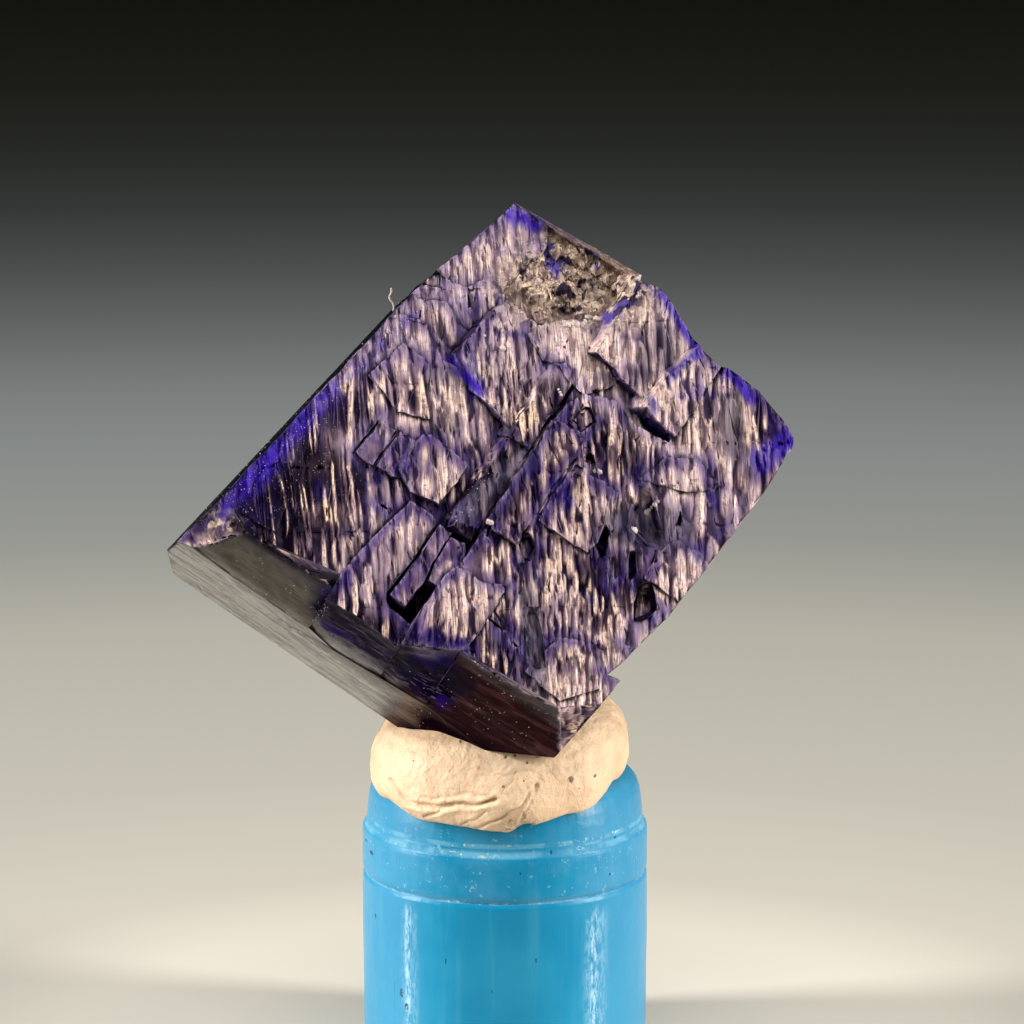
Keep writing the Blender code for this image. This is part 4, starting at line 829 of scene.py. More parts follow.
def plate_steps(points, loops, normals, edges, group):
    """Points along the plates' raised rims, along the rims that face up, and along the feet of walls."""
    rims, upper, feet = [], [], []
    for (a, b), pair in edges.items():
        if len(pair) != 2:
            continue
        plate, wall = sorted(pair, key=lambda f: -normals[f][2])
        if group[plate] < 0 or group[wall] >= 0:
            continue
        middle = np.mean([points[i] for i in loops[wall]], axis=0)
        run = points[b] - points[a]
        line = [points[a] + run * k for k in np.linspace(0, 1, 2 + int(np.linalg.norm(run) / 0.04))]
        if (middle - points[a]) @ normals[plate] > 0:
            feet += line
        else:
            rims += line
            if normals[wall] @ UPWARD > 0.25:
                upper += line
    return rims, upper, feet


def close_to(lines, points, reach):
    """1 on a set of line points, falling away from them over a reach in mm."""
    tree = kdtree.KDTree(len(lines))
    for number, place in enumerate(lines):
        tree.insert(place, number)
    tree.balance()
    away = np.array([tree.find(p)[2] for p in points])
    return np.exp(-(away / reach) ** 2)


def lath_groups(loops, normals, edges, outer):
    """Which plate each front facet belongs to: facets joined by shallow folds count as one; -1 elsewhere."""
    group = [-1] * len(loops)
    near = [[] for _ in loops]
    plate = [n[2] > 0.5 and not out for n, out in zip(normals, outer)]
    for pair in edges.values():
        if len(pair) == 2 and plate[pair[0]] and plate[pair[1]]:
            near[pair[0]].append(pair[1])
            near[pair[1]].append(pair[0])
    count = 0
    for start in range(len(loops)):
        if group[start] < 0 and plate[start]:
            waiting = [start]
            group[start] = count
            while waiting:
                for other in near[waiting.pop()]:
                    if group[other] < 0:
                        group[other] = count
                        waiting.append(other)
            count += 1
    return group


def reshape(points, facing):
    """Fills the recess to one slanting wall and raises the terraces; gives 1 on the terraces, 0 off them."""
    x, y, z = points.T
    along = np.clip((x - RECESS_LEFT) / RECESS_WIDTH, 0, 1)
    wall = (1 - along) * np.interp(z, *RECESS_WALL_LEFT) + along * np.interp(z, *RECESS_WALL_RIGHT)
    back = np.interp(z, *RECESS_BACK)
    within = (points > RECESS_LOW).all(axis=1) & (points < RECESS_HIGH).all(axis=1) & (facing[:, 1] < 0.5)
    share = np.clip(1 - (y - back) / 0.8, 0, 1) * within
    points[:, 1] -= np.maximum(np.minimum(y, back) - wall, 0) * share
    seen = seen_at(points)
    raised = np.zeros(len(points))
    for outline, height, slope in TERRACES:
        held = inside(seen, outline) & (points[:, 2] > -1.0) & (facing[:, 2] > -0.2)
        from_edge = from_line(seen, outline[:-2])
        share = np.where(held, np.clip(from_edge / slope, 0, 1), 0)
        lift = np.maximum(height - points[:, 2], 0) * share
        points[:, 2] += lift
        raised = np.maximum(raised, share * (lift > 0.01))
    facing[raised > 0.3] = (0, 0, 1)
    return raised


def seen_at(points):
    """Where points show on the face when it is seen from a little below square."""
    return points[:, :2] + np.column_stack((np.zeros(len(points)), LEAN * points[:, 2]))


def crystal_piece():
    """The crystal as one fine mesh, with the values that its finish reads."""
    noise.seed_set(CRYSTAL_SEED)      # without this, noise_vector follows the clock
    points, tris, sides, home, normals, grains, group, (rims, upper, feet), outer = fine_crystal()
    every = range(len(points))
    plate = np.array([group[home[i]] if i in home else -1 for i in every])
    facing = np.array([normals[home[i]] if i in home else (0, 0, 1) for i in every])
    outside = np.array([outer[home[i]] if i in home else False for i in every])
    # painted light: nearness to the rims, for their highlights, and to the upper rims and the feet of walls,
    # for painted shade
    rim, shade = close_to(rims, points, 0.05), close_to(upper, points, 0.30)
    foot = close_to(feet, points, 0.07)
    raised = reshape(points, facing)
    plate[(raised > 0.3) & (plate < 0)] = TERRACE_PLATE

    # the laths, pressed out of plates that are no longer quite flat
    bent = [noise.noise_vector(Vector(p) * 1.3) * 0.055 + noise.noise_vector(Vector(p) * 4.0) * 0.040
            for p in points]
    points += np.array(bent) * np.clip(points[:, 2:] + 2.2, 0, 1)
    seen = seen_at(points)
    wander = np.array([noise.noise_vector(Vector(p) * 2.0 + Vector((7, 3, 1))) for p in points])[:, :2]
    rise, pale = np.zeros(len(points)), np.zeros(len(points))
    for k, (height, tone) in enumerate([lath_map(seed) for seed in LATH_SEEDS]):
        mine = (plate >= 0) & (plate % len(LATH_SEEDS) == k)
        rise[mine], pale[mine] = read_map(height, seen[mine]), read_map(tone, seen[mine])

    # the broken corner, and the rough one at the left
    crumbly = strokes(seen, CRUMBLY_STROKES)
    crumbly[facing[:, 2] < -0.3] = 0
    points[:, 2] += crumbly * np.clip(-0.35 - points[:, 2], 0, 0.4) * (points[:, 2] > -1.2)
    corner = strokes(seen, CORNER_STROKES) * (facing[:, 2] > 0.2)
    grainy = np.maximum(crumbly, 0.7 * corner)
    rough = 0.05 * speckle(points, 2.4) + 0.050 * abs(speckle(points, 5.5, 5.0))
    rough = rough + 0.030 * speckle(points, 12.0, 2.0)
    lift = facing * (rough * grainy * 1.8)[:, None]
    lift[:, 2] += rise * (1 - grainy)
    lift += facing * (0.006 * speckle(points, 6.0, 9.0))[:, None]
    mesh = bpy.data.meshes.new("azurite")
    mesh.from_pydata(in_world(points + lift).tolist(), [], tris)

    # painted light: how much of the light the laths catch, plate by plate; then painted highlights on the
    # rims, painted shade below the upper rims and at the feet
    cluster = 0.62 + 0.9 * speckle(points * (1, 1, 0.3), 0.75, 3.0) + 0.5 * speckle(points, 2.2, 8.0)
    tune = np.array([0.75 + 0.5 * ((g * 0.618) % 1) for g in range(max(group) + 2)])[plate]
    lively = 1 - strokes(seen, QUIET_STROKES)
    pale *= (1 - grainy) * np.clip(cluster * tune + 0.35, 0.3, 1.15) * (1 - 0.75 * shade)
    add_values(mesh, "pale", pale)
    add_values(mesh, "rim", rim * (1 - raised) * (1 - grainy) * lively)
    add_values(mesh, "shade", shade * (1 - grainy) * ~outside)
    add_values(mesh, "foot", foot * (1 - raised) * (1 - 0.5 * grainy) * lively * ~outside)
    add_values(mesh, "wall", ((plate < 0) & ~outside) * (1 - raised))
    add_values(mesh, "crumbly", grainy)
    add_values(mesh, "corner", corner)
    add_brushed_values(mesh, seen, wander, facing, plate >= 0, outside)
    add_streak(mesh, points, tris, sides, grains, group)
    mesh.shade_smooth()
    mesh.set_sharp_from_angle(angle=math.radians(38))
    piece = bpy.data.objects.new("azurite", mesh)
    bpy.context.scene.collection.objects.link(piece)
    return piece


def add_values(mesh, name, values):
    mesh.attributes.new(name, "FLOAT", "POINT").data.foreach_set("value", values.astype(np.float32))


def add_brushed_values(mesh, seen, wander, facing, front, outside):
    """Tones that lie along brushed lines: some on the glassy sides, some on the front."""
    left_side = outside & (facing[:, 0] < -0.5)
    add_values(mesh, "glassy", 1.0 * outside)
    add_values(mesh, "dark_side", 1.0 * left_side)
    for name, lines, sway in (
            ("pale_side", PALE_SIDES, 0), ("brown_side", BROWN_SIDES, 0), ("splinters", SPLINTER_SIDES, 0.1),
            ("under_side", UNDER_SIDES, 0), ("olive_side", OLIVE_SIDES, 0)):
        add_values(mesh, name, strokes(seen + wander * sway, lines) * outside)
    wide_blue = [(x0, y0, x1, y1, 1.9 * half, strength) for x0, y0, x1, y1, half, strength in BLUE_STROKES]
    for name, lines, sway in (
            ("slate", GREY_REFLECTION_STROKES, 0), ("glow", GLOW_STROKES, 0.2), ("soft", SOFT_STROKES, 0.35),
            ("haze", wide_blue, 0.2), ("cream", LATH_HIGHLIGHT_STROKES, 0), ("grit_glints", GRIT_GLINT_STROKES, 0)):
        add_values(mesh, name, strokes(seen + wander * sway, lines) * front)
    wavy = seen + wander * 0.06
    add_values(mesh, "blue", strokes(wavy, BLUE_STROKES) * (facing[:, 2] > -0.2) * ~left_side)
    add_values(mesh, "black", strokes(wavy, BLACK_STROKES))


def add_streak(mesh, points, tris, sides, grains, group):
    """Each corner's place across and along its own facet's growth lines, apart for each plate."""
    places = points[np.array(tris).ravel()]
    across = np.repeat(np.array([grains[s][1] for s in sides]), 3, axis=0)
    along = np.repeat(np.array([grains[s][2] for s in sides]), 3, axis=0)
    apart = np.repeat(np.array([(group[s] % 7) * 3.7 for s in sides]), 3)
    values = np.column_stack(((places * across).sum(axis=1), (places * along).sum(axis=1), apart))
    streak = mesh.attributes.new("streak", "FLOAT_VECTOR", "CORNER")
    streak.data.foreach_set("vector", values.astype(np.float32).ravel())


# grooves and ground between the laths, plain and where blue shows through
GROOVE_DARK, GROOVE_VIOLET = (0.005, 0.002, 0.014, 1), (0.021, 0.008, 0.044, 1)
GROOVE_HAZY = (0.078, 0.044, 0.115, 1)
HAZE_DEEP, HAZE_GLOWING = (0.012, 0.003, 0.075, 1), (0.032, 0.009, 0.270, 1)
BLUE_DEEP, BLUE_CLEAR = (0.009, 0.001, 0.105, 1), (0.022, 0.002, 0.310, 1)
# painted light on the laths: painted sheen and highlights on their lit tops, their threads and grit, and
# their flanks in painted shade
LATH_SHEEN_GOLD, LATH_SHEEN_ROSE, LATH_SHEEN_HAZY = (0.87, 0.63, 0.43, 1), (0.70, 0.475, 0.44, 1), (0.66, 0.485, 0.49, 1)
LATH_HIGHLIGHT = (0.95, 0.80, 0.65, 1)
LATH_THREAD, LATH_GRIT = (0.24, 0.14, 0.17, 1), (0.12, 0.065, 0.09, 1)
FLANK_SHADE_DARK, FLANK_SHADE_HAZY = (0.130, 0.074, 0.098, 1), (0.330, 0.235, 0.290, 1)
FLANK_SHADE_BLUE = (0.130, 0.080, 0.340, 1)
# plates: painted shade below the upper rims, walls, painted highlights on the rims, painted shade at the
# feet of walls, grey facets that are painted reflections, gaps with painted shadows, and painted glints of
# grit
SHADE_BLUE = (0.045, 0.020, 0.180, 1)
WALL_DARK, WALL_PALE = (0.008, 0.003, 0.035, 1), (0.11, 0.06, 0.13, 1)
RIM_HIGHLIGHT, FOOT_SHADE = (0.42, 0.33, 0.42, 1), (0.005, 0.002, 0.018, 1)
REFLECTION_GREY_DARK, REFLECTION_GREY_PALE = (0.026, 0.024, 0.050, 1), (0.085, 0.078, 0.115, 1)
GAP_AND_SHADOW_BLACK, GRIT_GLINT = (0.005, 0.003, 0.010, 1), (0.30, 0.23, 0.22, 1)
# rubble at the broken corner, with painted shade in its holes
RUBBLE_BROWN, RUBBLE_PALE = (0.220, 0.150, 0.135, 1), (0.64, 0.49, 0.37, 1)
RUBBLE_BRIGHT = (0.82, 0.67, 0.51, 1)
RUBBLE_HOLE_SHADE, RUBBLE_BLUE = (0.016, 0.008, 0.022, 1), (0.085, 0.060, 0.260, 1)
RUBBLE_DARK = (0.030, 0.012, 0.060, 1)
# glassy sides and underside, with painted reflections, painted glints and painted shade
SIDE_DARK, SIDE_PALE = (0.004, 0.003, 0.008, 1), (0.026, 0.018, 0.040, 1)
OLIVE_DARK, OLIVE_PALE = (0.026, 0.022, 0.015, 1), (0.060, 0.054, 0.042, 1)
SIDE_REFLECTION_DARK, SIDE_REFLECTION_PALE = (0.120, 0.115, 0.105, 1), (0.250, 0.235, 0.215, 1)
SIDE_REFLECTION_BRIGHT, REFLECTION_BAND_CRACK = (0.40, 0.39, 0.37, 1), (0.035, 0.028, 0.032, 1)
BROWN_DARK, BROWN_PALE = (0.016, 0.004, 0.005, 1), (0.062, 0.022, 0.022, 1)
SPLINTER_DARK, SPLINTER_GLINT = (0.004, 0.002, 0.016, 1), (0.105, 0.085, 0.135, 1)
SPLINTER_BLUE = (0.012, 0.002, 0.090, 1)
UNDER_BLACK, LEFT_BLACK = (0.004, 0.001, 0.004, 1), (0.004, 0.004, 0.007, 1)
DUST_WHITE = (0.55, 0.50, 0.48, 1)
# tints of the shine: on the ground, on blue ground, and on laths and sides
SHINE_VIOLET, SHINE_BLUE, SHINE_WARM = (0.75, 0.60, 0.68, 1), (0.50, 0.35, 1.0, 1), (1.0, 0.90, 0.84, 1)


def value(tree, name):
    """A value kept on the crystal's points."""
    return put(tree, "Attribute", attribute_name=name).outputs["Fac"]


def threads(tree, across, along):
    """A place counted in turns per millimetre across and along the growth lines."""
    streak = put(tree, "Attribute", attribute_name="streak").outputs["Vector"]
    return put(tree, "Mapping", {"Vector": streak, "Scale": (across, along, 1)}).outputs[0]


def scattered(tree, place, scale, few, many, reach, core):
    """Round dots scattered singly: few to many sets how rare they are, reach to core how sharp."""
    dots = put(tree, "TexVoronoi", {"Vector": place, "Scale": scale}, feature="F1").outputs
    chosen = between(tree, put(tree, "SeparateColor", {0: dots["Color"]}).outputs[0], few, many)
    return calc(tree, "MULTIPLY", chosen, between(tree, dots["Distance"], reach, core))


def rubble_colour(tree, place, grit):
    times = partial(calc, tree, "MULTIPLY")
    rubble = tint(tree, patches(tree, place, 3.4, 0.40, 0.62, 4, 0.7), RUBBLE_BROWN, RUBBLE_PALE)
    rubble = tint(tree, between(tree, grit, 0.56, 0.66), rubble, RUBBLE_BRIGHT)
    # painted shade: dark patches where the rubble has holes
    rubble = tint(tree, patches(tree, place, 1.8, 0.56, 0.63, 3), rubble, RUBBLE_HOLE_SHADE)
    rubble = tint(tree, patches(tree, place, 1.1, 0.56, 0.66), rubble, RUBBLE_BLUE)
    dark = times(value(tree, "corner"), patches(tree, place, 2.6, 0.42, 0.54))
    return tint(tree, dark, rubble, RUBBLE_DARK)


def side_colour(tree, place, fine, coarse, thick):
    """The glassy sides: near black, with painted reflections (an olive facet, pale cracked bands, brown near
    the putty), painted shade under them, splinters with painted glints, and dust.
    """
    times = partial(calc, tree, "MULTIPLY")
    side = tint(tree, between(tree, thick, 0.40, 0.66), SIDE_DARK, SIDE_PALE)
    # painted reflection: the olive of a facet that mirrors something dark beside it
    olive = tint(tree, between(tree, fine, 0.3, 0.7), OLIVE_DARK, OLIVE_PALE)
    side = tint(tree, value(tree, "olive_side"), side, olive)

    # painted reflection: pale grey bands where the underside mirrors the bright card, with real cracks drawn
    # through them
    reflection_band = tint(tree, between(tree, thick, 0.42, 0.54), SIDE_REFLECTION_DARK, SIDE_REFLECTION_PALE)
    reflection_band = tint(tree, between(tree, fine, 0.60, 0.70), reflection_band, SIDE_REFLECTION_BRIGHT)
    bent = put(tree, "TexNoise", {"Vector": place, "Scale": 1.1}).outputs["Color"]
    bent = vector(tree, "ADD", threads(tree, 1.9, 0.42), bent)
    cracks = put(tree, "TexVoronoi", {"Vector": bent, "Scale": 1.0}, feature="DISTANCE_TO_EDGE")
    cracks = between(tree, cracks.outputs["Distance"], 0.045, 0.0)
    cracks = times(cracks, patches(tree, place, 0.7, 0.46, 0.60))
    reflection_band = tint(tree, times(cracks, 0.8), reflection_band, REFLECTION_BAND_CRACK)
    in_reflection_band = times(value(tree, "pale_side"), between(tree, coarse, 0.20, 0.40))
    side = tint(tree, in_reflection_band, side, reflection_band)

    # painted reflection: brown where the underside would mirror the putty
    brown = tint(tree, between(tree, thick, 0.46, 0.70), BROWN_DARK, BROWN_PALE)
    side = tint(tree, times(value(tree, "brown_side"), 0.95), side, brown)
    # painted glints: pale slivers along the splinters, on a dark ground
    sliver = patches(tree, threads(tree, 11, 1.3), 1.0, 0.555, 0.615, 3, 0.65)
    splinters = tint(tree, sliver, SPLINTER_DARK, SPLINTER_GLINT)
    splinters = tint(tree, patches(tree, place, 1.6, 0.56, 0.66), splinters, SPLINTER_BLUE)
    side = tint(tree, value(tree, "splinters"), side, splinters)
    # painted shade: black on the underside next to the putty
    side = tint(tree, times(value(tree, "under_side"), 0.9), side, UNDER_BLACK)
    side = tint(tree, value(tree, "dark_side"), side, LEFT_BLACK)
    dust = scattered(tree, place, 9.0, 0.80, 0.82, 0.16, 0.10)
    dust = times(dust, patches(tree, place, 0.8, 0.40, 0.60, 1))
    return tint(tree, dust, side, DUST_WHITE)


def azurite_finish():
    material, tree, shader = new_finish("azurite")
    plus, minus, times, larger = arithmetic(tree)
    place = millimetres(tree)
    fine = cloud(tree, threads(tree, 26, 1.6), 1.0, 2, 0.6)
    coarse = cloud(tree, threads(tree, 9, 0.9), 1.0, 3, 0.6)
    thick = cloud(tree, threads(tree, 5, 0.7), 1.0, 4, 0.65)
    grit = cloud(tree, place, 9.0, 3, 0.7)
    soft, glow = value(tree, "soft"), value(tree, "glow")
    glassy, crumbly = value(tree, "glassy"), value(tree, "crumbly")

    # the ground between the laths
    ground = tint(tree, between(tree, coarse, 0.40, 0.70), GROOVE_DARK, GROOVE_VIOLET)
    ground = tint(tree, times(soft, 0.8), ground, GROOVE_HAZY)
    haze = times(value(tree, "haze"), patches(tree, place, 1.5, 0.38, 0.62))
    ground = tint(tree, times(haze, 0.75), ground, tint(tree, glow, HAZE_DEEP, HAZE_GLOWING))

    # the laths: painted gold and rose sheen on the lit tops, finely threaded, over flanks in painted shade
    lath_sheen = tint(tree, patches(tree, place, 1.0, 0.40, 0.66), LATH_SHEEN_GOLD, LATH_SHEEN_ROSE)
    lath_sheen = tint(tree, times(soft, 0.6), lath_sheen, LATH_SHEEN_HAZY)
    lath_sheen = tint(tree, between(tree, fine, 0.58, 0.32), lath_sheen, LATH_THREAD)
    lath_sheen = tint(tree, times(between(tree, grit, 0.48, 0.36), 0.7), lath_sheen, LATH_GRIT)
    lath_sheen = tint(tree, between(tree, fine, 0.58, 0.70), lath_sheen, LATH_HIGHLIGHT)
    lit = plus(value(tree, "pale"), times(value(tree, "cream"), 0.5), clamp=True)
    lit = times(lit, plus(times(between(tree, coarse, 0.25, 0.55), 0.5), 0.5))
    lit = plus(times(soft, 0.12), lit)
    flank_shade = tint(tree, soft, FLANK_SHADE_DARK, FLANK_SHADE_HAZY)
    flank_shade = tint(tree, times(times(haze, glow), 0.6), flank_shade, FLANK_SHADE_BLUE)
    colour = tint(tree, between(tree, lit, 0.05, 0.34), ground, flank_shade)
    slate = value(tree, "slate")
    lit = times(between(tree, lit, 0.30, 0.72), minus(1.0, times(slate, 0.8)))
    colour = tint(tree, lit, colour, lath_sheen)

    # the plates: painted shade, walls, clear blue, painted highlights on the rims, painted shade at the
    # feet, and grey facets that are painted reflections
    shade = times(value(tree, "shade"), times(between(tree, coarse, 0.2, 0.6), 0.7))
    colour = tint(tree, shade, colour, SHADE_BLUE)
    wall = tint(tree, between(tree, thick, 0.48, 0.66), WALL_DARK, WALL_PALE)
    colour = tint(tree, value(tree, "wall"), colour, wall)
    pure = times(value(tree, "blue"), between(tree, plus(coarse, times(grit, 0.5)), 0.42, 0.80))
    colour = tint(tree, pure, colour, tint(tree, glow, BLUE_DEEP, BLUE_CLEAR))
    rim = times(value(tree, "rim"), between(tree, plus(fine, times(grit, 0.6)), 0.62, 0.95))
    colour = tint(tree, times(rim, 0.5), colour, RIM_HIGHLIGHT)
    foot = times(value(tree, "foot"), patches(tree, place, 2.2, 0.30, 0.55))
    colour = tint(tree, times(foot, 0.85), colour, FOOT_SHADE)
    # painted reflection: grey where a facet would mirror the grey surroundings
    facet = tint(tree, between(tree, coarse, 0.35, 0.65), REFLECTION_GREY_DARK, REFLECTION_GREY_PALE)
    colour = tint(tree, times(slate, 0.8), colour, facet)

    # the broken corner, the sides, the gaps and painted shadows, and painted glints of grit
    colour = tint(tree, crumbly, colour, rubble_colour(tree, place, grit))
    plain = minus(1.0, larger(pure, crumbly))
    colour = tint(tree, times(glassy, plain), colour, side_colour(tree, place, fine, coarse, thick))
    gap_and_shadow = times(value(tree, "black"), between(tree, minus(1.0, lit), 0.0, 0.7))
    gap_and_shadow = times(gap_and_shadow, minus(1.0, times(between(tree, thick, 0.56, 0.62), 0.7)))
    colour = tint(tree, times(gap_and_shadow, 0.9), colour, GAP_AND_SHADOW_BLACK)
    # painted glints: tiny pale dots of fine grit in the grooves
    sparks = times(scattered(tree, place, 17.0, 0.70, 0.74, 0.34, 0.20), value(tree, "grit_glints"))
    sparks = times(sparks, patches(tree, place, 2.3, 0.36, 0.60, 1))
    colour = tint(tree, times(sparks, 0.75), colour, GRIT_GLINT)
    tree.links.new(colour, shader.inputs["Base Color"])

    rough = plus(times(grit, 0.25), minus(0.34, times(lit, 0.08)))
    rough = blend(tree, glassy, rough, plus(times(coarse, 0.30), 0.12))
    tree.links.new(blend(tree, crumbly, rough, 0.6), shader.inputs["Roughness"])
    relief = plus(times(fine, 0.5), plus(times(coarse, 0.6), times(grit, 0.25)))
    strength = blend(tree, glassy, 0.75, 0.16)
    bump = put(tree, "Bump", {"Height": relief, "Strength": strength, "Distance": 0.00005})
    tree.links.new(bump.outputs[0], shader.inputs["Normal"])

    # the shine: warm on laths and sides, violet on the ground, none in the darkest places
    bright = larger(lit, glassy)
    shine = tint(tree, haze, SHINE_VIOLET, SHINE_BLUE)
    tree.links.new(tint(tree, bright, shine, SHINE_WARM), shader.inputs["Specular Tint"])
    level = blend(tree, bright, 0.22, 0.50)
    level = blend(tree, larger(value(tree, "brown_side"), value(tree, "dark_side")), level, 0.02)
    level = blend(tree, larger(value(tree, "under_side"), value(tree, "splinters")), level, 0.0)
    level = blend(tree, value(tree, "black"), level, 0.02)
    tree.links.new(level, shader.inputs["Specular IOR Level"])
    shader.inputs["IOR"].default_value = 1.52
    return material


def blend(tree, share, first, second):
    """The first number, moved towards the second by a share."""
    return put(tree, "Mix", {0: share, 2: first, 3: second}, data_type="FLOAT").outputs[0]


azurite = crystal_piece()
azurite.data.materials.append(azurite_finish())
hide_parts("azurite_crystal")
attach(azurite, "root")

# ---------------------------------------------------------------------------
# Grains, dust and a fibre: pale calcite-like grains sitting in the steps, fine
# white dust caught on the left edge and the underside, and one curl of lint.
# ---------------------------------------------------------------------------
GRAIN_WHITE, GRAIN_ROSE = (0.60, 0.50, 0.42, 1), (0.42, 0.33, 0.33, 1)
GRAIN_SEED = 5
# grains on the face: (x, y) to (x, y), half width
PALE_GRAINS = (
    (3.85, 9.09, 3.93, 9.12, 0.10), (6.53, 10.46, 6.60, 10.50, 0.11), (5.64, 7.48, 5.70, 7.52, 0.07),
    (5.99, 8.45, 5.95, 8.27, 0.06), (3.22, 9.09, 3.25, 9.11, 0.04), (4.85, 10.53, 5.07, 10.77, 0.07),
    (5.07, 10.77, 5.29, 10.89, 0.07), (5.29, 10.89, 5.33, 11.21, 0.07), (5.33, 11.21, 5.54, 11.28, 0.08),
    (9.54, 6.74, 9.56, 6.71, 0.13), (9.57, 7.38, 9.66, 7.79, 0.07), (5.99, 8.31, 6.00, 8.50, 0.07),
    (7.77, 7.57, 7.90, 7.62, 0.08), (5.73, 8.94, 5.87, 8.85, 0.05), (6.1, 4.72, 6.18, 4.76, 0.06))
# bands of dust on the crystal: (x, y) to (x, y), spread in mm, number of specks
DUST_BANDS = (
    (-0.75, 0.0, 1.35, 11.6, 0.16, 150), (-0.1, 1.2, 1.9, 12.3, 0.08, 170),
    (-0.3, -0.6, 7.0, -0.9, 0.5, 70), (0.0, 0.2, 3.2, 0.3, 0.4, 22), (0.5, 1.5, 1.6, 5.5, 0.9, 120),
    (3.6, -0.4, 3.75, 0.6, 0.07, 26), (5.3, 4.2, 5.5, 6.0, 0.12, 40), (7.0, -0.3, 10.5, 0.6, 0.5, 30),
    (8.0, 0.9, 10.5, 1.2, 0.3, 30))
# the fibre: its radius in mm, sides and steps, and its path beside the face
LINT_RADIUS, LINT_SIDES, LINT_STEPS = 0.028, 8, 25
LINT_PATH = ((0.30, 8.79), (0.38, 8.62), (0.56, 8.50), (0.68, 8.28))


def on_crystal(tree, x, y):
    """Where the surface is met at a place seen on the face, in crystal millimetres; None beside it."""
    toward = Vector((0, -LEAN, 1))
    return tree.ray_cast(Vector((x, y, 0)) + toward * 4, -toward)[0]


def grains_and_dust():
    rng = np.random.default_rng(GRAIN_SEED)
    mesh = azurite.data
    spots = in_crystal(np.array([v.co[:] for v in mesh.vertices]))
    tree = bvhtree.BVHTree.FromPolygons(spots.tolist(), [p.vertices[:] for p in mesh.polygons])
    bm = bmesh.new()

    def lump(place, radius, finest, squash=0.7):
        made = bmesh.ops.create_icosphere(bm, subdivisions=finest, radius=1.0)["verts"]
        for vert in made:
            bumps = 1 + 0.45 * noise.noise(vert.co * 1.7 + Vector(place) * 3)
            shaped = np.array(vert.co) * bumps * radius * (1, 1, squash) + place
            vert.co = Vector(in_world(shaped[None])[0])

    for x0, y0, x1, y1, half in PALE_GRAINS:
        count = 1 + int(math.hypot(x1 - x0, y1 - y0) / half / 1.3)
        for k in range(count):
            share = k / max(count - 1, 1)
            place = on_crystal(tree, x0 + (x1 - x0) * share, y0 + (y1 - y0) * share)
            if place:
                lump(np.array(place) + rng.normal(0, 0.01, 3), half * rng.uniform(0.7, 1.2), 3, 0.5)
    for x0, y0, x1, y1, spread, count in DUST_BANDS:
        for share in rng.random(count):
            x, y = x0 + (x1 - x0) * share, y0 + (y1 - y0) * share
            place = on_crystal(tree, x + rng.normal(0, spread), y + rng.normal(0, spread * 0.4))
            if place:
                lump(np.array(place), 0.005 + 0.014 * rng.random() ** 2, 1)
    return shape_of("grains_and_dust", bm)


def grain_finish():
    material, tree, shader = new_finish("pale_grain")
    place = millimetres(tree)
    colour = tint(tree, patches(tree, place, 4.0, 0.35, 0.65, 4), GRAIN_WHITE, GRAIN_ROSE)
    tree.links.new(colour, shader.inputs["Base Color"])
    bump = put(tree, "Bump", {"Height": cloud(tree, place, 12.0, 4), "Strength": 0.6, "Distance": 0.00004})
    tree.links.new(bump.outputs[0], shader.inputs["Normal"])
    shader.inputs["Roughness"].default_value = 0.5
    return material


def lint_fibre():
    """A thin curled thread that stands off the crystal's upper left edge."""
    bm = bmesh.new()
    path = []
    for k in np.linspace(0, 1, LINT_STEPS):
        x, y = (np.interp(k, (0, 0.33, 0.66, 1), [p[axis] for p in LINT_PATH]) for axis in (0, 1))
        path.append(np.array((x, y + 0.35, -1.2)) + (0.03 * math.sin(9 * k), 0.03 * math.cos(7 * k), 0))
    rings = []
    for k, place in enumerate(path):
        run = Vector(path[min(k + 1, LINT_STEPS - 1)] - path[max(k - 1, 0)]).normalized()
        side = run.cross(Vector((0, 0, 1))).normalized()
        other = np.array(run.cross(side))
        ring = []
        for turn in np.linspace(0, 2 * math.pi, LINT_SIDES, endpoint=False):
            out = np.array(side) * math.cos(turn) + other * math.sin(turn)
            ring.append(bm.verts.new(in_world(place + LINT_RADIUS * out)))
        rings.append(ring)
    join_rings(bm, rings)
    bm.faces.new(rings[0][::-1])
    bm.faces.new(rings[-1])
    return shape_of("lint_fibre", bm)


grains, lint = grains_and_dust(), lint_fibre()
pale_grain = grain_finish()
for piece in (grains, lint):
    piece.data.materials.append(pale_grain)
    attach(piece, "root")

# ---------------------------------------------------------------------------
# The setting: a pale sweep of card under and behind, that falls away into the
# dark, a tall soft lamp to each side, a soft lamp overhead, and the camera,
# looking a little down at the specimen.
# ---------------------------------------------------------------------------
CARD_SIDES = 96
# the card: rings on the flat in mm, then its upward curve as radius and height in metres
CARD_RADII = (8, 16, 24, 32, 43, 54, 68, 84, 103, 126, 155, 191, 238, 303, 396, 545, 800)
CARD_CURVE = ((0.95, 0.03), (1.08, 0.12), (1.15, 0.3), (1.17, 0.6))
# tones of the card, paler round the post where painted light fills the post's shadows: where, as the root of
# the distance over CARD_REACH, and red, green and blue
CARD_REACH = 0.8
CARD_TONES = (
    (0.0, 0.66, 0.62, 0.54), (0.106, 0.65, 0.61, 0.53), (0.128, 0.59, 0.555, 0.480),
    (0.152, 0.450, 0.426, 0.368), (0.199, 0.375, 0.362, 0.315), (0.268, 0.335, 0.328, 0.287),
    (0.315, 0.238, 0.246, 0.232), (0.368, 0.205, 0.222, 0.223), (0.398, 0.185, 0.200, 0.200),
    (0.437, 0.135, 0.148, 0.149), (0.481, 0.093, 0.101, 0.101), (0.532, 0.060, 0.066, 0.065),
    (0.593, 0.044, 0.048, 0.043), (0.684, 0.038, 0.040, 0.031), (1.0, 0.040, 0.043, 0.026))


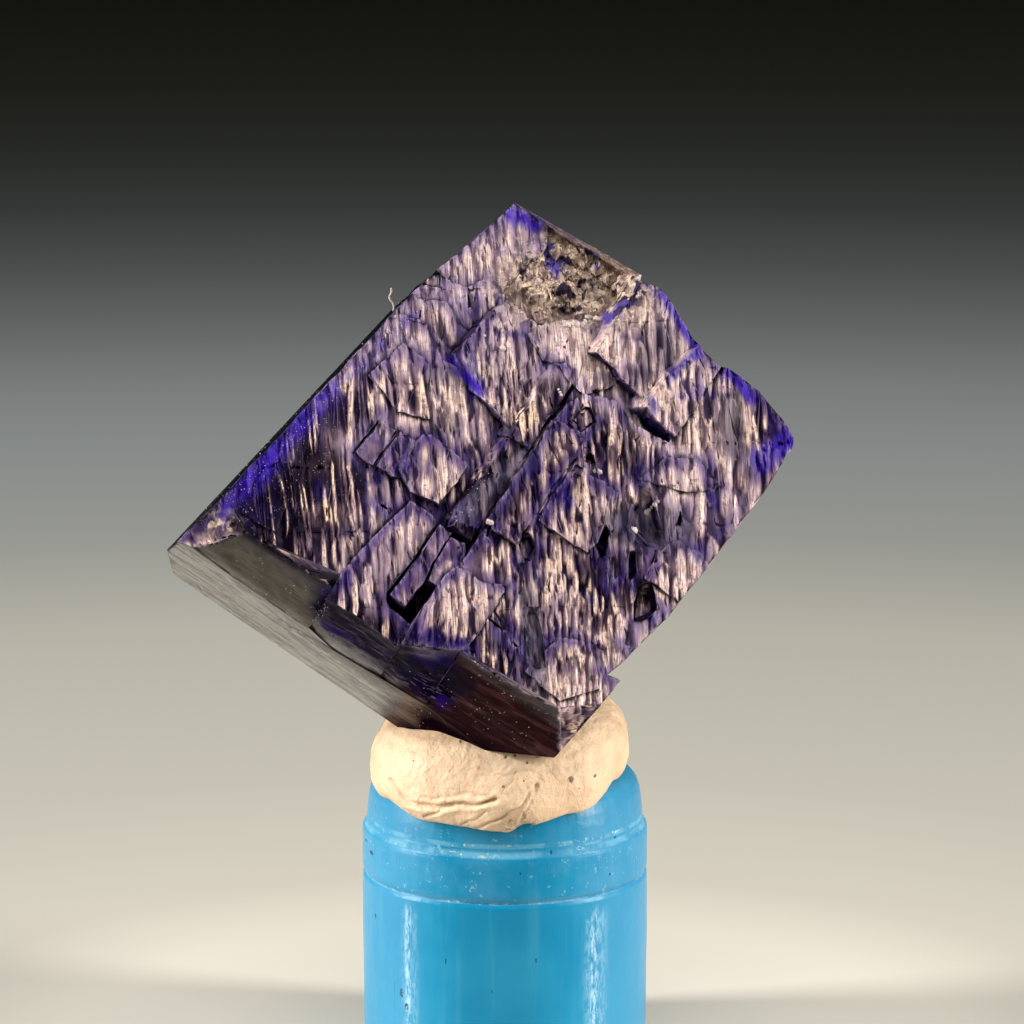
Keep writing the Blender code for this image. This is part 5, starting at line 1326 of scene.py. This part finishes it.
def card():
    bm = bmesh.new()
    profile = [(r / 1000, 0.0) for r in CARD_RADII] + list(CARD_CURVE)
    turns = np.linspace(0, 2 * math.pi, CARD_SIDES, endpoint=False)
    rings = [[bm.verts.new((radius * math.cos(t), radius * math.sin(t), height)) for t in turns]
             for radius, height in profile]
    middle = bm.verts.new((0, 0, 0))
    for k in range(CARD_SIDES):
        bm.faces.new((middle, rings[0][k], rings[0][(k + 1) % CARD_SIDES]))
    for inner, outer in zip(rings, rings[1:]):
        for k in range(CARD_SIDES):
            after = (k + 1) % CARD_SIDES
            bm.faces.new((inner[k], outer[k], outer[after], inner[after]))
    return shape_of("card_sweep", bm)


def card_finish():
    material, tree, shader = new_finish("pale_card")
    place = put(tree, "TexCoord").outputs["Object"]
    away = calc(tree, "DIVIDE", away_from(tree, place, (0, 0, 0)), CARD_REACH)
    # painted light: the card is brightest round the post, filling its cast shadows
    ramp = put(tree, "ValToRGB", {0: calc(tree, "POWER", away, 0.5)})
    stops = ramp.color_ramp.elements
    stops[0].position, stops[0].color = CARD_TONES[0][0], (*CARD_TONES[0][1:], 1)
    stops[1].position, stops[1].color = CARD_TONES[-1][0], (*CARD_TONES[-1][1:], 1)
    for at, *tone in CARD_TONES[1:-1]:
        stops.new(at).color = (*tone, 1)
    tree.links.new(ramp.outputs[0], shader.inputs["Base Color"])
    shader.inputs["Roughness"].default_value = 0.9
    shader.inputs["Specular IOR Level"].default_value = 0.0
    return material


LAMP_AIM = 0.014          # height in metres that the lamps are aimed at


def lamp(name, azimuth, height, away, wide, tall, power, colour=(1, 1, 1)):
    """A soft lamp: azimuth in degrees round from the camera's side, aimed at the crystal."""
    data = bpy.data.lights.new(name, "AREA")
    data.shape, data.size, data.size_y, data.energy, data.color = "RECTANGLE", wide, tall, power, colour
    piece = bpy.data.objects.new(name, data)
    turn = math.radians(azimuth - 90)
    piece.location = (away * math.cos(turn), away * math.sin(turn), height)
    toward = Vector((0, 0, LAMP_AIM)) - piece.location
    piece.rotation_euler = toward.to_track_quat("-Z", "Y").to_euler()
    bpy.context.scene.collection.objects.link(piece)


sweep = card()
sweep.data.materials.append(card_finish())
lamp("left_lamp", -82, 0.10, 0.26, 0.05, 0.22, 1.4, (1.0, 0.97, 0.93))
lamp("right_lamp", 75, 0.10, 0.26, 0.05, 0.22, 1.15, (1.0, 0.96, 0.91))
lamp("top_lamp", 5, 0.30, 0.12, 0.22, 0.22, 0.62)
world = bpy.data.worlds.new("room")
world.use_nodes = True
background = world.node_tree.nodes["Background"]
background.inputs["Color"].default_value = (0.30, 0.30, 0.31, 1)
background.inputs["Strength"].default_value = 0.4
bpy.context.scene.world = world
bpy.context.scene.view_settings.view_transform = "Standard"

# the camera: how far it looks down, its distance, what it looks at, and its focal length in pixels
look = math.radians(10.5)
distance, aim = 0.110, Vector((0.0002, 0, 0.0156))
focal, pixels = 3949, 1024
eye = bpy.data.objects.new("camera", bpy.data.cameras.new("camera"))
bpy.context.scene.collection.objects.link(eye)
eye.data.sensor_width, eye.data.lens, eye.data.clip_start = 36, 36 * focal / pixels, 0.001
eye.location = aim + distance * Vector((0, -math.cos(look), math.sin(look)))
eye.rotation_euler = (math.pi / 2 - look, 0, 0)
bpy.context.scene.camera = eye
